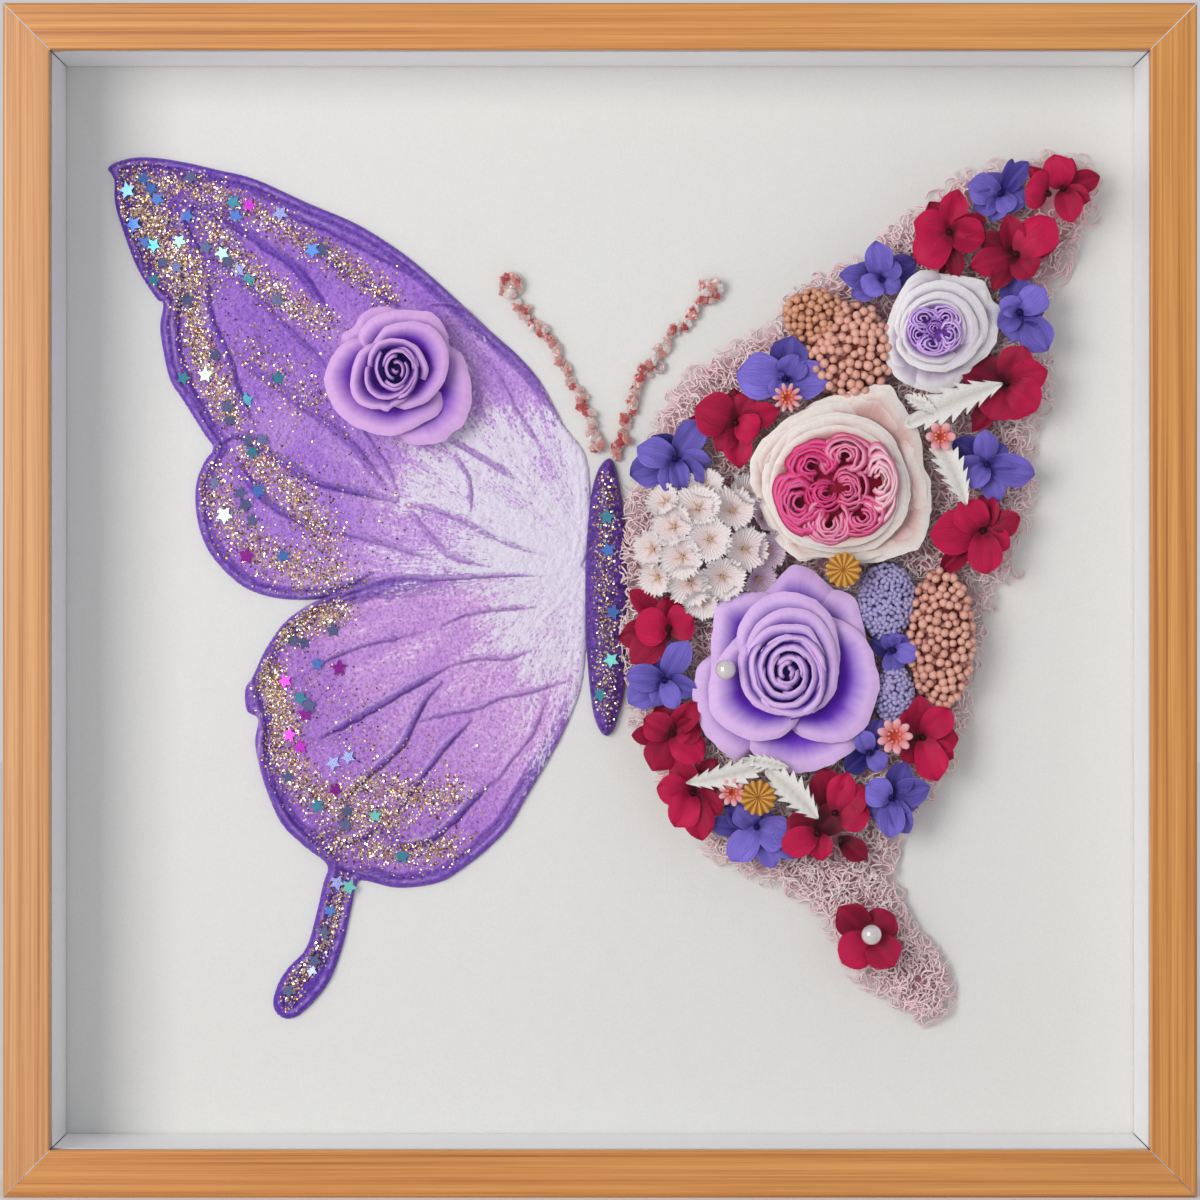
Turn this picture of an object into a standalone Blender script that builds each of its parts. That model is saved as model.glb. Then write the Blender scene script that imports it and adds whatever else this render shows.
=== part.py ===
"""A glazed shadow-box frame that holds a butterfly, half in thick paint and half in preserved flowers.

Metres, +Z up. The frame stands on its bottom rail and faces -Y. The origin is on the floor under
its middle. Heights of the things on the board are measured off the board's front, towards the viewer.
"""

import math

import bmesh
import bpy
from mathutils import Vector
from mathutils.bvhtree import BVHTree

# Frame
SIDE = 0.350
DEPTH = 0.046
FACE_WIDTH = 0.0138
WALL = 0.0085
LIP_DEPTH = 0.003
OUTER_ROUND = 0.0012
INNER_ROUND = 0.0007
ROUND_STEPS = 4
GAP = 0.0003

# What the frame holds, from front to back
PANE_THICKNESS = 0.002
SPACER_DEPTH = 0.030
SPACER_THICKNESS = 0.005
BOARD_THICKNESS = 0.003
PANEL_THICKNESS = 0.0025
TAB_THICKNESS = 0.0006
TAB_REACH = 0.011
TAB_WIDTH = 0.009
HANGER_WIDTH = 0.044
HANGER_HEIGHT = 0.010
HANGER_THICKNESS = 0.0012
HANGER_TEETH = 9
HANGER_DROP = 0.030

FRONT = -DEPTH / 2
PANE_FRONT = FRONT + LIP_DEPTH + GAP
SPACER_FRONT = PANE_FRONT + PANE_THICKNESS + GAP
BOARD_FRONT = SPACER_FRONT + SPACER_DEPTH + GAP
PANEL_FRONT = BOARD_FRONT + BOARD_THICKNESS + GAP
TAB_FRONT = PANEL_FRONT + PANEL_THICKNESS + GAP
SLAB_HALF = SIDE / 2 - WALL - GAP
FRAME_SIDES = ("top", "right", "bottom", "left")

# The straight front view in which places are given, as columns and rows of a square picture
VIEW_MIDDLE = 600
FRAME_SPAN = 1196
VIEW_DISTANCE = 1.128

# Heights off the board
MOSS_HEIGHT = 0.0062
PAINT_HEIGHT = 0.0011
RIDGE_HEIGHT = 0.0012
BODY_HEIGHT = 0.0048
FLOWER_LEVEL = 0.010

WELD = 1e-6
FAR = 1.0
SETTLE_STEP = 0.0006

# Outlines, as columns and rows of the front view
FORE_ROOT = (580, 556)
FORE_MARGIN = (
    (589, 468), (563, 423), (520, 357), (464, 306), (400, 251), (306, 202), (219, 170), (150, 158),
    (108, 167), (114, 190), (125, 237), (138, 270), (157, 298), (163, 306), (162, 344), (168, 378),
    (184, 400), (204, 433), (212, 449), (202, 469), (194, 499), (199, 533), (217, 563), (242, 586),
    (270, 597), (301, 599),
)  # fmt: skip
FORE_VEINS = (
    (431, 276), (300, 200), (190, 163), (118, 210), (148, 284), (163, 330), (180, 395), (204, 436),
    (195, 500), (226, 572), (270, 597),
)  # fmt: skip
HIND_ROOT = (580, 563)
HIND_MARGIN = (
    (301, 607), (283, 624), (265, 650), (253, 676), (246, 690), (247, 711), (257, 722), (255, 742),
    (260, 770), (270, 800), (283, 826), (306, 848), (327, 865), (360, 880), (398, 888), (438, 883),
    (464, 868), (489, 848), (510, 826), (525, 800), (543, 770), (563, 734), (577, 696), (583, 676),
)  # fmt: skip
HIND_VEINS = ((262, 655), (250, 715), (262, 775), (306, 848), (398, 888), (470, 864), (525, 800))
TAIL_SIDES = (
    (858, 328, 364), (870, 327, 362), (892, 322, 358), (918, 316, 351), (946, 305, 344), (970, 288, 333),
    (990, 277, 323), (1006, 275, 309), (1019, 286, 298),
)  # fmt: skip
BODY_SIDES = (
    (460, 605, 613), (476, 597, 617), (507, 590, 621), (540, 587, 626), (575, 586, 628), (617, 585, 628),
    (650, 587, 627), (682, 590, 625), (712, 594, 620), (734, 602, 612),
)  # fmt: skip
MOSS_FORE_MIDDLE = (850, 430)
MOSS_FORE_EDGE = (
    (1020, 160), (1090, 165), (1100, 198), (1080, 250), (1056, 300), (1050, 350), (1050, 420), (1035, 480),
    (1020, 540), (1000, 578), (800, 592), (634, 592), (637, 500), (644, 450), (660, 400), (700, 360),
    (760, 330), (800, 290), (860, 255), (910, 215), (960, 175),
)  # fmt: skip
MOSS_HIND_MIDDLE = (820, 780)
MOSS_HIND_EDGE = (
    (998, 584), (976, 615), (985, 660), (975, 720), (955, 780), (930, 824), (884, 848), (897, 874),
    (912, 918), (945, 966), (948, 1012), (930, 1023), (897, 1001), (856, 979), (833, 938), (800, 897),
    (740, 870), (690, 830), (642, 740), (634, 690), (634, 598), (800, 598),
)  # fmt: skip
LEFT_ANTENNA = ((601, 452), (591, 426), (580, 396), (560, 362), (530, 320), (516, 298), (504, 278))
RIGHT_ANTENNA = ((615, 452), (624, 424), (634, 392), (652, 362), (678, 328), (698, 303), (716, 284))
ANTENNA_CHIPS = 17
CHIP_SIZES = ((2.5, 0.0013), (5.1, 0.0025))
TIP_START = 0.84
TIP_GROWTH = 1.7
UPPER_LEAVES = ((1003, 385), (960, 402), (928, 434), (945, 470), (968, 508))
LOWER_LEAVES = ((688, 784), (724, 770), (762, 766), (794, 788), (818, 824))

# Flowers, as (column, row, half width, half height) in the front view, and a height in metres
LILAC_ROSE = (789, 670, 92, 102, 0.019)
GARDEN_ROSE = (841, 475, 91, 89, 0.0165)
WHITE_ROSE = (942, 334, 61, 67, 0.015)
WING_ROSE = (399, 376, 73, 72, 0.017)
SCABIOSA = (709, 543, 63, 62, 0.016)
SCABIOSA_CUPS = ((0, 0), (-14, -36), (28, -31), (38, 8), (12, 36), (-22, 33), (-38, -4))
SCABIOSA_CUP_RADIUS = 18
RICE_PINK = (849, 352, 43, 47, 0.0105)
RICE_ORANGE = (815, 316, 30, 25, 0.009)
RICE_RIGHT = (939, 637, 33, 69, 0.0105)
UPPER_CONE = (884, 601, 28, 37, 0.011)
LOWER_CONE = (893, 692, 20, 27, 0.008)
MIDDLE_POPPY = (842, 571, 17, 17, 0.0075)
LOWER_POPPY = (757, 796, 15, 15, 0.011)
WAXFLOWERS = {
    "upper_left": (788, 398, 14, 14, 0.0032),
    "upper_right": (940, 437, 14, 14, 0.0032),
    "lower_right": (893, 737, 17, 17, 0.0036),
    "lower_left": (732, 793, 13, 13, 0.0032),
}
HYDRANGEAS = {
    "crimson": {
        "wing_tip": ((1059, 194, 40, 38), (1016, 245, 44, 43), (944, 238, 41, 44)),
        "right_upper": ((1003, 386, 42, 39),),
        "left_upper": ((735, 428, 45, 40),),
        "right_middle": ((972, 535, 47, 39),),
        "left_middle": ((660, 622, 42, 33),),
        "left_lower": ((671, 739, 41, 33), (692, 796, 38, 40)),
        "right_lower": ((926, 738, 31, 46),),
        "bottom": ((825, 815, 41, 45),),
        "tail": ((866, 937, 28, 32),),
    },
    "blue": {
        "wing_tip": ((993, 191, 32, 31),),
        "upper": ((877, 272, 41, 31),),
        "right_upper": ((1021, 317, 27, 38),),
        "veined": ((781, 367, 45, 33),),
        "left_upper": ((671, 457, 40, 36),),
        "right_middle": ((991, 467, 40, 36),),
        "small": ((893, 648, 22, 20),),
        "left_middle": ((661, 679, 38, 33),),
        "right_lower": ((895, 790, 33, 44), (873, 752, 24, 26)),
        "bottom": ((750, 826, 45, 39),),
    },
}
HYDRANGEA_HEIGHT = 0.0085
CLEARANCE = 0.0005
PEARL_RADIUS = 0.0032
ROSE_PEARL = (724, 669)
TAIL_PEARL = (870, 933)


def painted(name, colour, roughness, metallic=0.0, transmission=0.0):
    """A material from an sRGB colour of 0 to 255, a roughness and a metallic value."""
    material = bpy.data.materials.new(name)
    material.use_nodes = True
    shader = material.node_tree.nodes["Principled BSDF"]
    linear = [(part / 255) ** 2.2 for part in colour]
    shader.inputs["Base Color"].default_value = (*linear, 1.0)
    shader.inputs["Roughness"].default_value = roughness
    shader.inputs["Metallic"].default_value = metallic
    shader.inputs["Transmission Weight"].default_value = transmission
    return material


def make_materials():
    """One material for each finish, by name."""
    return {
        "oak": painted("oak", (213, 158, 98), 0.45),
        "spacer": painted("spacer", (238, 238, 236), 0.6),
        "pane": painted("pane", (255, 255, 255), 0.03, transmission=1.0),
        "board": painted("board", (226, 227, 224), 0.9),
        "panel": painted("panel", (150, 112, 78), 0.8),
        "steel": painted("steel", (170, 170, 172), 0.35, metallic=1.0),
        "purple_paint": painted("purple_paint", (150, 98, 212), 0.35),
        "dark_paint": painted("dark_paint", (82, 45, 140), 0.4),
        "crystal": painted("crystal", (206, 132, 124), 0.15),
        "lilac_petal": painted("lilac_petal", (190, 150, 236), 0.55),
        "pink_petal": painted("pink_petal", (238, 178, 196), 0.55),
        "white_petal": painted("white_petal", (236, 230, 236), 0.55),
        "moss": painted("moss", (214, 172, 182), 0.9),
        "scabiosa": painted("scabiosa", (232, 208, 208), 0.7),
        "rice": painted("rice", (222, 152, 130), 0.6),
        "cone": painted("cone", (150, 130, 190), 0.8),
        "poppy": painted("poppy", (206, 160, 72), 0.7),
        "coral": painted("coral", (236, 128, 138), 0.6),
        "leaf": painted("leaf", (236, 230, 222), 0.7),
        "crimson": painted("crimson", (190, 22, 80), 0.5),
        "blue": painted("blue", (100, 82, 200), 0.5),
        "pearl": painted("pearl", (240, 234, 230), 0.2),
    }


def make_collection(name):
    """A new collection in the scene."""
    collection = bpy.data.collections.new(name)
    bpy.context.scene.collection.children.link(collection)
    return collection


def seen(column, row, height):
    """The x and z of a thing at that height, from its column and row in the front view."""
    distance = VIEW_DISTANCE + BOARD_FRONT - FRONT - height
    scale = SIDE / FRAME_SPAN * distance / VIEW_DISTANCE
    return (column - VIEW_MIDDLE) * scale, SIDE / 2 - (row - VIEW_MIDDLE) * scale


def at(spot, height):
    """The point at a height off the board that shows at a column and row."""
    x, z = seen(*spot, height)
    return Vector((x, BOARD_FRONT - height, z))


def length_of(start, end):
    return math.hypot(end[0] - start[0], end[1] - start[1])


def between(start, end, share):
    """The spot at a share of the way between two spots."""
    return tuple(a + (b - a) * share for a, b in zip(start, end, strict=True))


def divided(outline, longest):
    """The outline with its long stretches cut into equal ones."""
    spots = [outline[0]]
    for start, end in zip(outline, outline[1:]):
        pieces = math.ceil(length_of(start, end) / longest)
        spots += [between(start, end, step / pieces) for step in range(1, pieces + 1)]
    return spots


def along(path, share):
    """The spot at a share of the path's length, and the path's direction there."""
    lengths = [length_of(a, b) for a, b in zip(path, path[1:])]
    left = share * sum(lengths)
    for start, end, length in zip(path, path[1:], lengths):
        if left <= length or end == path[-1]:
            way = ((end[0] - start[0]) / length, (end[1] - start[1]) / length)
            return between(start, end, min(left / length, 1.0)), way
        left -= length


def add_mesh(name, mesh, material, location=(0, 0, 0)):
    """An object of the closed mesh in the object's collection, with its faces pointing out."""
    bmesh.ops.recalc_face_normals(mesh, faces=mesh.faces)
    if mesh.calc_volume(signed=True) < 0:
        bmesh.ops.reverse_faces(mesh, faces=mesh.faces)
    shape = bpy.data.meshes.new(name)
    mesh.to_mesh(shape)
    mesh.free()
    shape.materials.append(material)
    piece = bpy.data.objects.new(name, shape)
    piece.location = location
    parts.objects.link(piece)
    return piece


def sheet(name, columns, rows, point, material, location=(0, 0, 0)):
    """A grid bent by point(column, row), welded where it meets itself and closed by one flat back face."""
    mesh = bmesh.new()
    bmesh.ops.create_grid(mesh, x_segments=columns, y_segments=rows, size=1.0)
    for vertex in mesh.verts:
        column = round((vertex.co.x + 1) / 2 * columns)
        row = round((vertex.co.y + 1) / 2 * rows)
        vertex.co = point(column, row)
    bmesh.ops.remove_doubles(mesh, verts=mesh.verts, dist=WELD)
    rim = [edge for edge in mesh.edges if edge.is_boundary]
    bmesh.ops.holes_fill(mesh, edges=rim, sides=0)
    return add_mesh(name, mesh, material, location)


def box(name, half_width, thickness, front, material):
    """A square slab centred in the frame."""
    mesh = bmesh.new()
    bmesh.ops.create_cube(mesh, size=1.0)
    bmesh.ops.scale(mesh, vec=(2 * half_width, thickness, 2 * half_width), verts=mesh.verts)
    return add_mesh(name, mesh, material, (0, front + thickness / 2, SIDE / 2))


def flat_curve(name, outline, half_thickness):
    """A filled 2D curve through the outline, with thickness."""
    curve = bpy.data.curves.new(name, "CURVE")
    curve.dimensions = "2D"
    curve.fill_mode = "BOTH"
    curve.extrude = half_thickness
    spline = curve.splines.new("POLY")
    spline.points.add(len(outline) - 1)
    for point, (x, y) in zip(spline.points, outline):
        point.co = (x, y, 0, 1)
    spline.use_cyclic_u = True
    return bpy.data.objects.new(name, curve)


def meshed(curve):
    """The curve's solid as a welded bmesh. The curve is removed."""
    parts.objects.link(curve)
    graph = bpy.context.evaluated_depsgraph_get()
    shape = bpy.data.meshes.new_from_object(curve.evaluated_get(graph))
    mesh = bmesh.new()
    mesh.from_mesh(shape)
    bmesh.ops.remove_doubles(mesh, verts=mesh.verts, dist=WELD)
    bpy.data.objects.remove(curve)
    bpy.data.meshes.remove(shape)
    return mesh


def arc(middle, radius, start, end, steps):
    """Points along an arc, with angles in degrees."""
    turns = [math.radians(start + (end - start) * step / steps) for step in range(steps + 1)]
    return [(middle[0] + radius * math.cos(t), middle[1] + radius * math.sin(t)) for t in turns]


def mitred(name, profile, turn, material):
    """A strip with 45 degree ends, turned about the middle. The profile is (inset from outside, depth)."""
    mesh = meshed(flat_curve(name, profile, SIDE / 2))
    for vertex in mesh.verts:
        inset, depth, end = vertex.co
        half = SIDE / 2 - inset - GAP / math.sqrt(2)
        vertex.co = (math.copysign(half, end), FRONT + depth, SIDE / 2 - inset)
    strip = add_mesh(name, mesh, material, (0, 0, SIDE / 2))
    strip.rotation_euler.y = turn


def rail_profile():
    """The rail's section: a rounded face with a lip over the pane, and a rebate behind it."""
    outer = arc((OUTER_ROUND, OUTER_ROUND), OUTER_ROUND, 180, 270, ROUND_STEPS)
    middle = (FACE_WIDTH - INNER_ROUND, INNER_ROUND)
    inner = arc(middle, INNER_ROUND, 270, 360, ROUND_STEPS)
    rebate = [(FACE_WIDTH, LIP_DEPTH), (WALL, LIP_DEPTH), (WALL, DEPTH), (0, DEPTH)]
    return outer + inner + rebate


def make_frame(looks):
    """Rails, spacers, pane, board and back panel."""
    top = SPACER_FRONT - FRONT
    inner = FACE_WIDTH
    outer = FACE_WIDTH - SPACER_THICKNESS
    spacer = [(outer, top), (inner, top), (inner, top + SPACER_DEPTH), (outer, top + SPACER_DEPTH)]
    for index, side in enumerate(FRAME_SIDES):
        turn = index * math.pi / 2
        mitred(f"frame_rail_{side}", rail_profile(), turn, looks["oak"])
        mitred(f"spacer_{side}", spacer, turn, looks["spacer"])
    box("glass_pane", SLAB_HALF, PANE_THICKNESS, PANE_FRONT, looks["pane"])
    box("backing_board", SLAB_HALF, BOARD_THICKNESS, BOARD_FRONT, looks["board"])
    box("back_panel", SLAB_HALF, PANEL_THICKNESS, PANEL_FRONT, looks["panel"])


def make_back_fittings(looks):
    """Two bent tabs that hold the back panel, and a sawtooth hanger near its top."""
    for side, sign in (("left", -1), ("right", 1)):
        half = TAB_WIDTH / 2
        tip = arc((TAB_REACH - half, 0), half, -90, 90, 8)
        outline = [(0, -half), *tip, (0, half)]
        mesh = meshed(flat_curve("tab", outline, TAB_THICKNESS / 2))
        for vertex in mesh.verts:
            reach, up, depth = vertex.co
            vertex.co = (-sign * reach, depth, up)
        place = (sign * SLAB_HALF, TAB_FRONT + TAB_THICKNESS / 2, SIDE / 2)
        add_mesh(f"panel_tab_{side}", mesh, looks["steel"], place)
    half = HANGER_WIDTH / 2
    tooth = HANGER_WIDTH / (HANGER_TEETH + 2)
    teeth = []
    for index in range(HANGER_TEETH):
        left = -half + tooth * (index + 1)
        teeth += [(left, 0), (left + tooth / 2, tooth / 2)]
    corners = [(half, 0), (half, HANGER_HEIGHT), (-half, HANGER_HEIGHT)]
    outline = [(-half, 0), *teeth, (half - tooth, 0), *corners]
    mesh = meshed(flat_curve("hanger", outline, HANGER_THICKNESS / 2))
    for vertex in mesh.verts:
        across, up, depth = vertex.co
        vertex.co = (across, depth, up)
    place = (0, TAB_FRONT + HANGER_THICKNESS / 2, SIDE - HANGER_DROP)
    add_mesh("sawtooth_hanger", mesh, looks["steel"], place)


def wing(name, root, margin, veins, material):
    """A fan of paint from the wing's root to its margin, with a raised rim and raised veins."""
    spots = divided(margin, 32)
    spots.insert(1, between(spots[0], spots[1], 0.12))
    spots.insert(-1, between(spots[-1], spots[-2], 0.12))
    shares = (0.0, 0.22, 0.45, 0.68, 0.88, 0.955, 0.985, 1.0)
    rims = (0.0, 0.0, 0.0, 0.0, 0.0, 1.0, 0.9, 0.0)
    last = len(spots) - 1

    def point(column, row):
        spot = between(root, spots[column], shares[row])
        nearest = min(length_of(spots[column], end) for end in veins)
        ridge = max(rims[row], max(0.0, 1 - nearest / 16) * (0 < row < 5))
        inside = 0 < column < last and 0 < row < len(shares) - 1
        return at(spot, GAP + inside * (PAINT_HEIGHT + RIDGE_HEIGHT * ridge))

    return sheet(name, last, len(shares) - 1, point, material)


def rounded_bar(name, sides, across, base, height, look):
    """A rounded bar of paint between its two sides, each row given as (row, left column, right column)."""

    def point(column, row):
        level, left, right = sides[row]
        turn = math.pi * column / across
        side = (left + right) / 2 - (right - left) / 2 * math.cos(turn)
        inside = 0 < row < len(sides) - 1 and 0 < column < across
        return at((side, level), base + inside * height * math.sin(turn))

    return sheet(name, across, len(sides) - 1, point, look)


def make_painting(looks):
    """The painted wings and body of the left half."""
    paint = looks["purple_paint"]
    wing("painted_forewing", FORE_ROOT, FORE_MARGIN, FORE_VEINS, paint)
    fan = wing("hindwing_fan", HIND_ROOT, HIND_MARGIN, HIND_VEINS, paint)
    tail = rounded_bar("hindwing_tail", TAIL_SIDES, 6, 1.3 * GAP, PAINT_HEIGHT + RIDGE_HEIGHT, paint)
    joined("painted_hindwing", [fan, tail], paint)
    rounded_bar("painted_body", BODY_SIDES, 8, GAP, BODY_HEIGHT, looks["dark_paint"])


def make_antenna(name, path, looks):
    """A row of crystal chips, wide and narrow in turn, with a bunch of bigger ones at the tip."""
    rows = 2 * ANTENNA_CHIPS

    def point(column, row):
        share = row / rows
        spot, way = along(path, share)
        half_width, chip_height = CHIP_SIZES[row % 2]
        big = TIP_GROWTH if share > TIP_START else 1.0
        offset = half_width * big * (column - 1)
        inside = column == 1 and 0 < row < rows
        height = GAP + inside * chip_height * big
        return at((spot[0] - way[1] * offset, spot[1] + way[0] * offset), height)

    return sheet(name, 2, rows, point, looks["crystal"])


def make_moss(name, middle, edge, looks):
    """A lumpy bed of moss inside the outline, with a low edge."""
    spots = divided((*edge, edge[0]), 60)
    last = len(spots) - 1
    shares = (0.0, 0.35, 0.7, 0.95, 1.0)
    heights = (0.94, 0.97, 0.94, 0.55, 0.0)

    def point(column, row):
        column %= last
        spot = between(middle, spots[column], shares[row])
        lump = 0.06 * math.sin(2.4 * column + 1.7 * row) * (0 < row < 3)
        height = MOSS_HEIGHT * (heights[row] + lump)
        return at(spot, GAP + height)

    return sheet(name, last, len(shares) - 1, point, looks["moss"])


def footprint(flower):
    """The flower's ellipse on the board: x, z and its half sizes."""
    column, row, half_width, half_height, _height = flower
    x, z = seen(column, row, FLOWER_LEVEL)
    side_x, side_z = seen(column + half_width, row - half_height, FLOWER_LEVEL)
    return x, z, side_x - x, side_z - z


def free_reach(flower, angle, taken):
    """The share of its size that a flower can reach at an angle before it meets a flower already laid."""
    x, z, wide, tall = footprint(flower)
    limit = 1.0
    for other_x, other_z, other_wide, other_tall in taken:
        across = other_wide + CLEARANCE
        up = other_tall + CLEARANCE
        way = (wide * math.cos(angle) / across, tall * math.sin(angle) / up)
        off = ((x - other_x) / across, (z - other_z) / up)
        square = way[0] ** 2 + way[1] ** 2
        half = way[0] * off[0] + way[1] * off[1]
        root = half**2 - square * (off[0] ** 2 + off[1] ** 2 - 1)
        if root > 0 and half < 0:
            limit = min(limit, (-half - math.sqrt(root)) / square)
    return limit


def petal_dent(depth, petals, angle):
    """Draws a round outline in between its petals."""
    return 1 - depth * (0.5 - 0.5 * math.cos(petals * angle))


def ring_shape(name, flower, columns, rings, look, taken=(), bend=None):
    """A flower of rings (reach, level), as shares of its size, from its front's middle to its flat back."""
    x, z, wide, tall = footprint(flower)
    height = flower[4]
    angles = [2 * math.pi * index / columns for index in range(columns)]
    limits = [free_reach(flower, angle, taken) for angle in angles]

    def point(column, ring):
        column %= columns
        reach, level = rings[ring]
        if bend and ring < len(rings) - 1:
            reach, level = bend(column, ring, reach, level)
        reach *= limits[column]
        angle = angles[column]
        return Vector((wide * reach * math.cos(angle), -height * level, tall * reach * math.sin(angle)))

    return sheet(name, columns, len(rings) - 1, point, look, (x, BOARD_FRONT, z))


def rose(name, flower, look, taken=(), petals=5, dent=0.10, opening=0.60, start=0.0, winds=5):
    """A rose whose petals wind out from the middle. Its rim overhangs a narrow base."""
    x, z, wide, tall = footprint(flower)
    height = flower[4]
    columns = 18
    turns = 2 * winds
    under = ((0.80, 0.24), (0.45, 0.0))

    def point(column, row):
        turn = column / columns
        angle = 2 * math.pi * turn + start
        ring = row - 2
        if ring > turns:
            reach, level = under[ring - turns - 1]
        else:
            wound = min(max(ring + 2 * turn, 0.0), turns)
            share = wound / turns
            reach = share * petal_dent(dent * share, petals, angle)
            groove = 0.15 * (ring % 2) * (0 < wound < turns) * (0.5 + share)
            level = 1 - opening * share**2 - groove
        reach *= free_reach(flower, angle, taken)
        return Vector((wide * reach * math.cos(angle), -height * level, tall * reach * math.sin(angle)))

    return sheet(name, columns, turns + 2 + len(under), point, look, (x, BOARD_FRONT, z))


def joined(name, pieces, look):
    """One piece from several that run into each other."""
    first, *others = pieces
    for other in others:
        union = first.modifiers.new("union", "BOOLEAN")
        union.operation = "UNION"
        union.object = other
    graph = bpy.context.evaluated_depsgraph_get()
    shape = bpy.data.meshes.new_from_object(first.evaluated_get(graph))
    mesh = bmesh.new()
    mesh.from_mesh(shape)
    bmesh.ops.triangulate(mesh, faces=mesh.faces)
    place = first.location.copy()
    for piece in pieces:
        bpy.data.objects.remove(piece)
    return add_mesh(name, mesh, look, place)


def hydrangea(name, lumps, look, taken):
    """Cupped florets with four broad sepals each, the touching ones of one sprig joined."""
    rings = ((0.0, 0.62), (0.45, 0.86), (0.80, 0.84), (1.0, 0.30), (0.60, 0.0))
    florets = []
    for number, lump in enumerate(lumps):
        phase = lump[0] * 0.7 + lump[1] * 0.3
        flower = (*lump, HYDRANGEA_HEIGHT * (1 + 0.06 * number))

        def bend(column, ring, reach, level, phase=phase):
            lobe = math.cos(math.pi * 2 / 3 * column + phase)
            crease = math.cos(math.pi * column - phase)
            fold = 0.06 * (lobe + crease) * (0 < ring < 3)
            return reach * (1 - 0.045 * (1 - lobe) * (ring > 1)), level + fold

        floret = ring_shape(f"{name}_{number}", flower, 12, rings, look, taken, bend)
        floret.location.y -= 0.0002 * number
        florets.append(floret)
    return joined(name, florets, look)


def mound(name, flower, look, taken, columns=16, bump=0.10, rows=5):
    """A dome of small round lumps."""
    turns = [math.pi / 2 * step / rows for step in range(rows)]
    rings = [(0.94 * math.sin(turn), 0.22 + 0.70 * math.cos(turn)) for turn in turns]
    rings += [(0.97, 0.18), (0.66, 0.0)]

    def bend(column, ring, reach, level):
        lump = bump * ((column + ring) % 2) * (ring > 0)
        return reach * (1 + 0.3 * lump), level * (1 + lump)

    return ring_shape(name, flower, columns, rings, look, taken, bend)


def scabiosa(name, flower, look, taken):
    """A ball of seed cups: shallow papery cups that stand all over a dome."""
    rings = ((0.0, 0.80), (0.36, 0.74), (0.68, 0.56), (0.82, 0.30), (0.55, 0.0))
    core = ring_shape(name + "_core", flower, 12, rings, look, taken)
    column, row, half_width, _half_height, height = flower
    scale = footprint(flower)[2] / half_width
    cups = [core]
    for number, (right, down) in enumerate(SCABIOSA_CUPS):
        off = Vector((right * scale, 0, -down * scale))
        lean = off.length / (half_width * scale)
        way = Vector((off.x, -height * (1.15 - lean**2), off.z)).normalized()
        mesh = bmesh.new()
        bmesh.ops.create_cone(
            mesh,
            cap_ends=True,
            segments=7,
            radius1=0.5 * SCABIOSA_CUP_RADIUS * scale,
            radius2=SCABIOSA_CUP_RADIUS * scale,
            depth=0.45 * height,
        )
        spin = Vector((0, 0, 1)).rotation_difference(way).to_matrix()
        bmesh.ops.rotate(mesh, matrix=spin, verts=mesh.verts)
        level = height * (0.74 - 0.36 * lean**2)
        bmesh.ops.translate(mesh, vec=off + Vector((0, -level, 0)), verts=mesh.verts)
        cups.append(add_mesh(f"{name}_cup_{number}", mesh, look, core.location))
    return joined(name, cups, look)


def poppy(name, flower, look, taken):
    """A short capsule under a ribbed star-shaped cap."""
    rings = ((0.0, 0.92), (0.35, 1.0), (1.0, 0.92), (0.92, 0.76), (0.72, 0.35), (0.40, 0.0))

    def bend(column, ring, reach, level):
        rib = column % 2
        return reach * (1 - 0.13 * rib * (ring == 2)), level - 0.08 * rib * (0 < ring < 3)

    return ring_shape(name, flower, 14, rings, look, taken, bend)


def waxflower(name, flower, look):
    """A small cup with a toothed rim."""
    rings = ((0.0, 0.45), (0.40, 0.55), (1.0, 1.0), (0.35, 0.0))

    def bend(column, ring, reach, level):
        return reach * (1 - 0.22 * (column % 2) * (ring == 2)), level

    return ring_shape(name, flower, 14, rings, look, (), bend)


def leaf_spray(name, path, look):
    """Two toothed leaves on one stalk, as one strip from tip to tip."""
    rows = 24
    x, z = seen(*path[2], FLOWER_LEVEL)
    scale = seen(path[2][0] + 1, path[2][1], FLOWER_LEVEL)[0] - x

    def point(column, row):
        share = row / rows
        spot, way = along(path, share)
        from_stalk = abs(2 * share - 1)
        broad = math.sin(math.pi * min(from_stalk * 1.02, 1.0) ** 1.2)
        half = 1.6 + 12.0 * broad * (0.45 + 0.55 * (row % 2)) * (0 < row < rows)
        offset = half * (column - 1)
        right = (spot[0] - way[1] * offset - path[2][0]) * scale
        down = (spot[1] + way[0] * offset - path[2][1]) * scale
        inside = column == 1 and 0 < row < rows
        return Vector((right, -inside * 0.0011, -down))

    return sheet(name, 2, rows, point, look, (x, BOARD_FRONT, z))


def pearl(name, spot, look):
    mesh = bmesh.new()
    bmesh.ops.create_icosphere(mesh, subdivisions=2, radius=PEARL_RADIUS)
    x, z = seen(*spot, FLOWER_LEVEL)
    return add_mesh(name, mesh, look, (x, BOARD_FRONT - PEARL_RADIUS, z))


def placed_points(piece):
    return [piece.matrix_basis @ vertex.co for vertex in piece.data.vertices]


def tree_of(piece):
    """The piece's faces for ray casts, with its points."""
    points = placed_points(piece)
    return BVHTree.FromPolygons(points, [tuple(face.vertices) for face in piece.data.polygons]), points


def span(points, axis):
    values = [point[axis] for point in points]
    return min(values), max(values)


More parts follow.
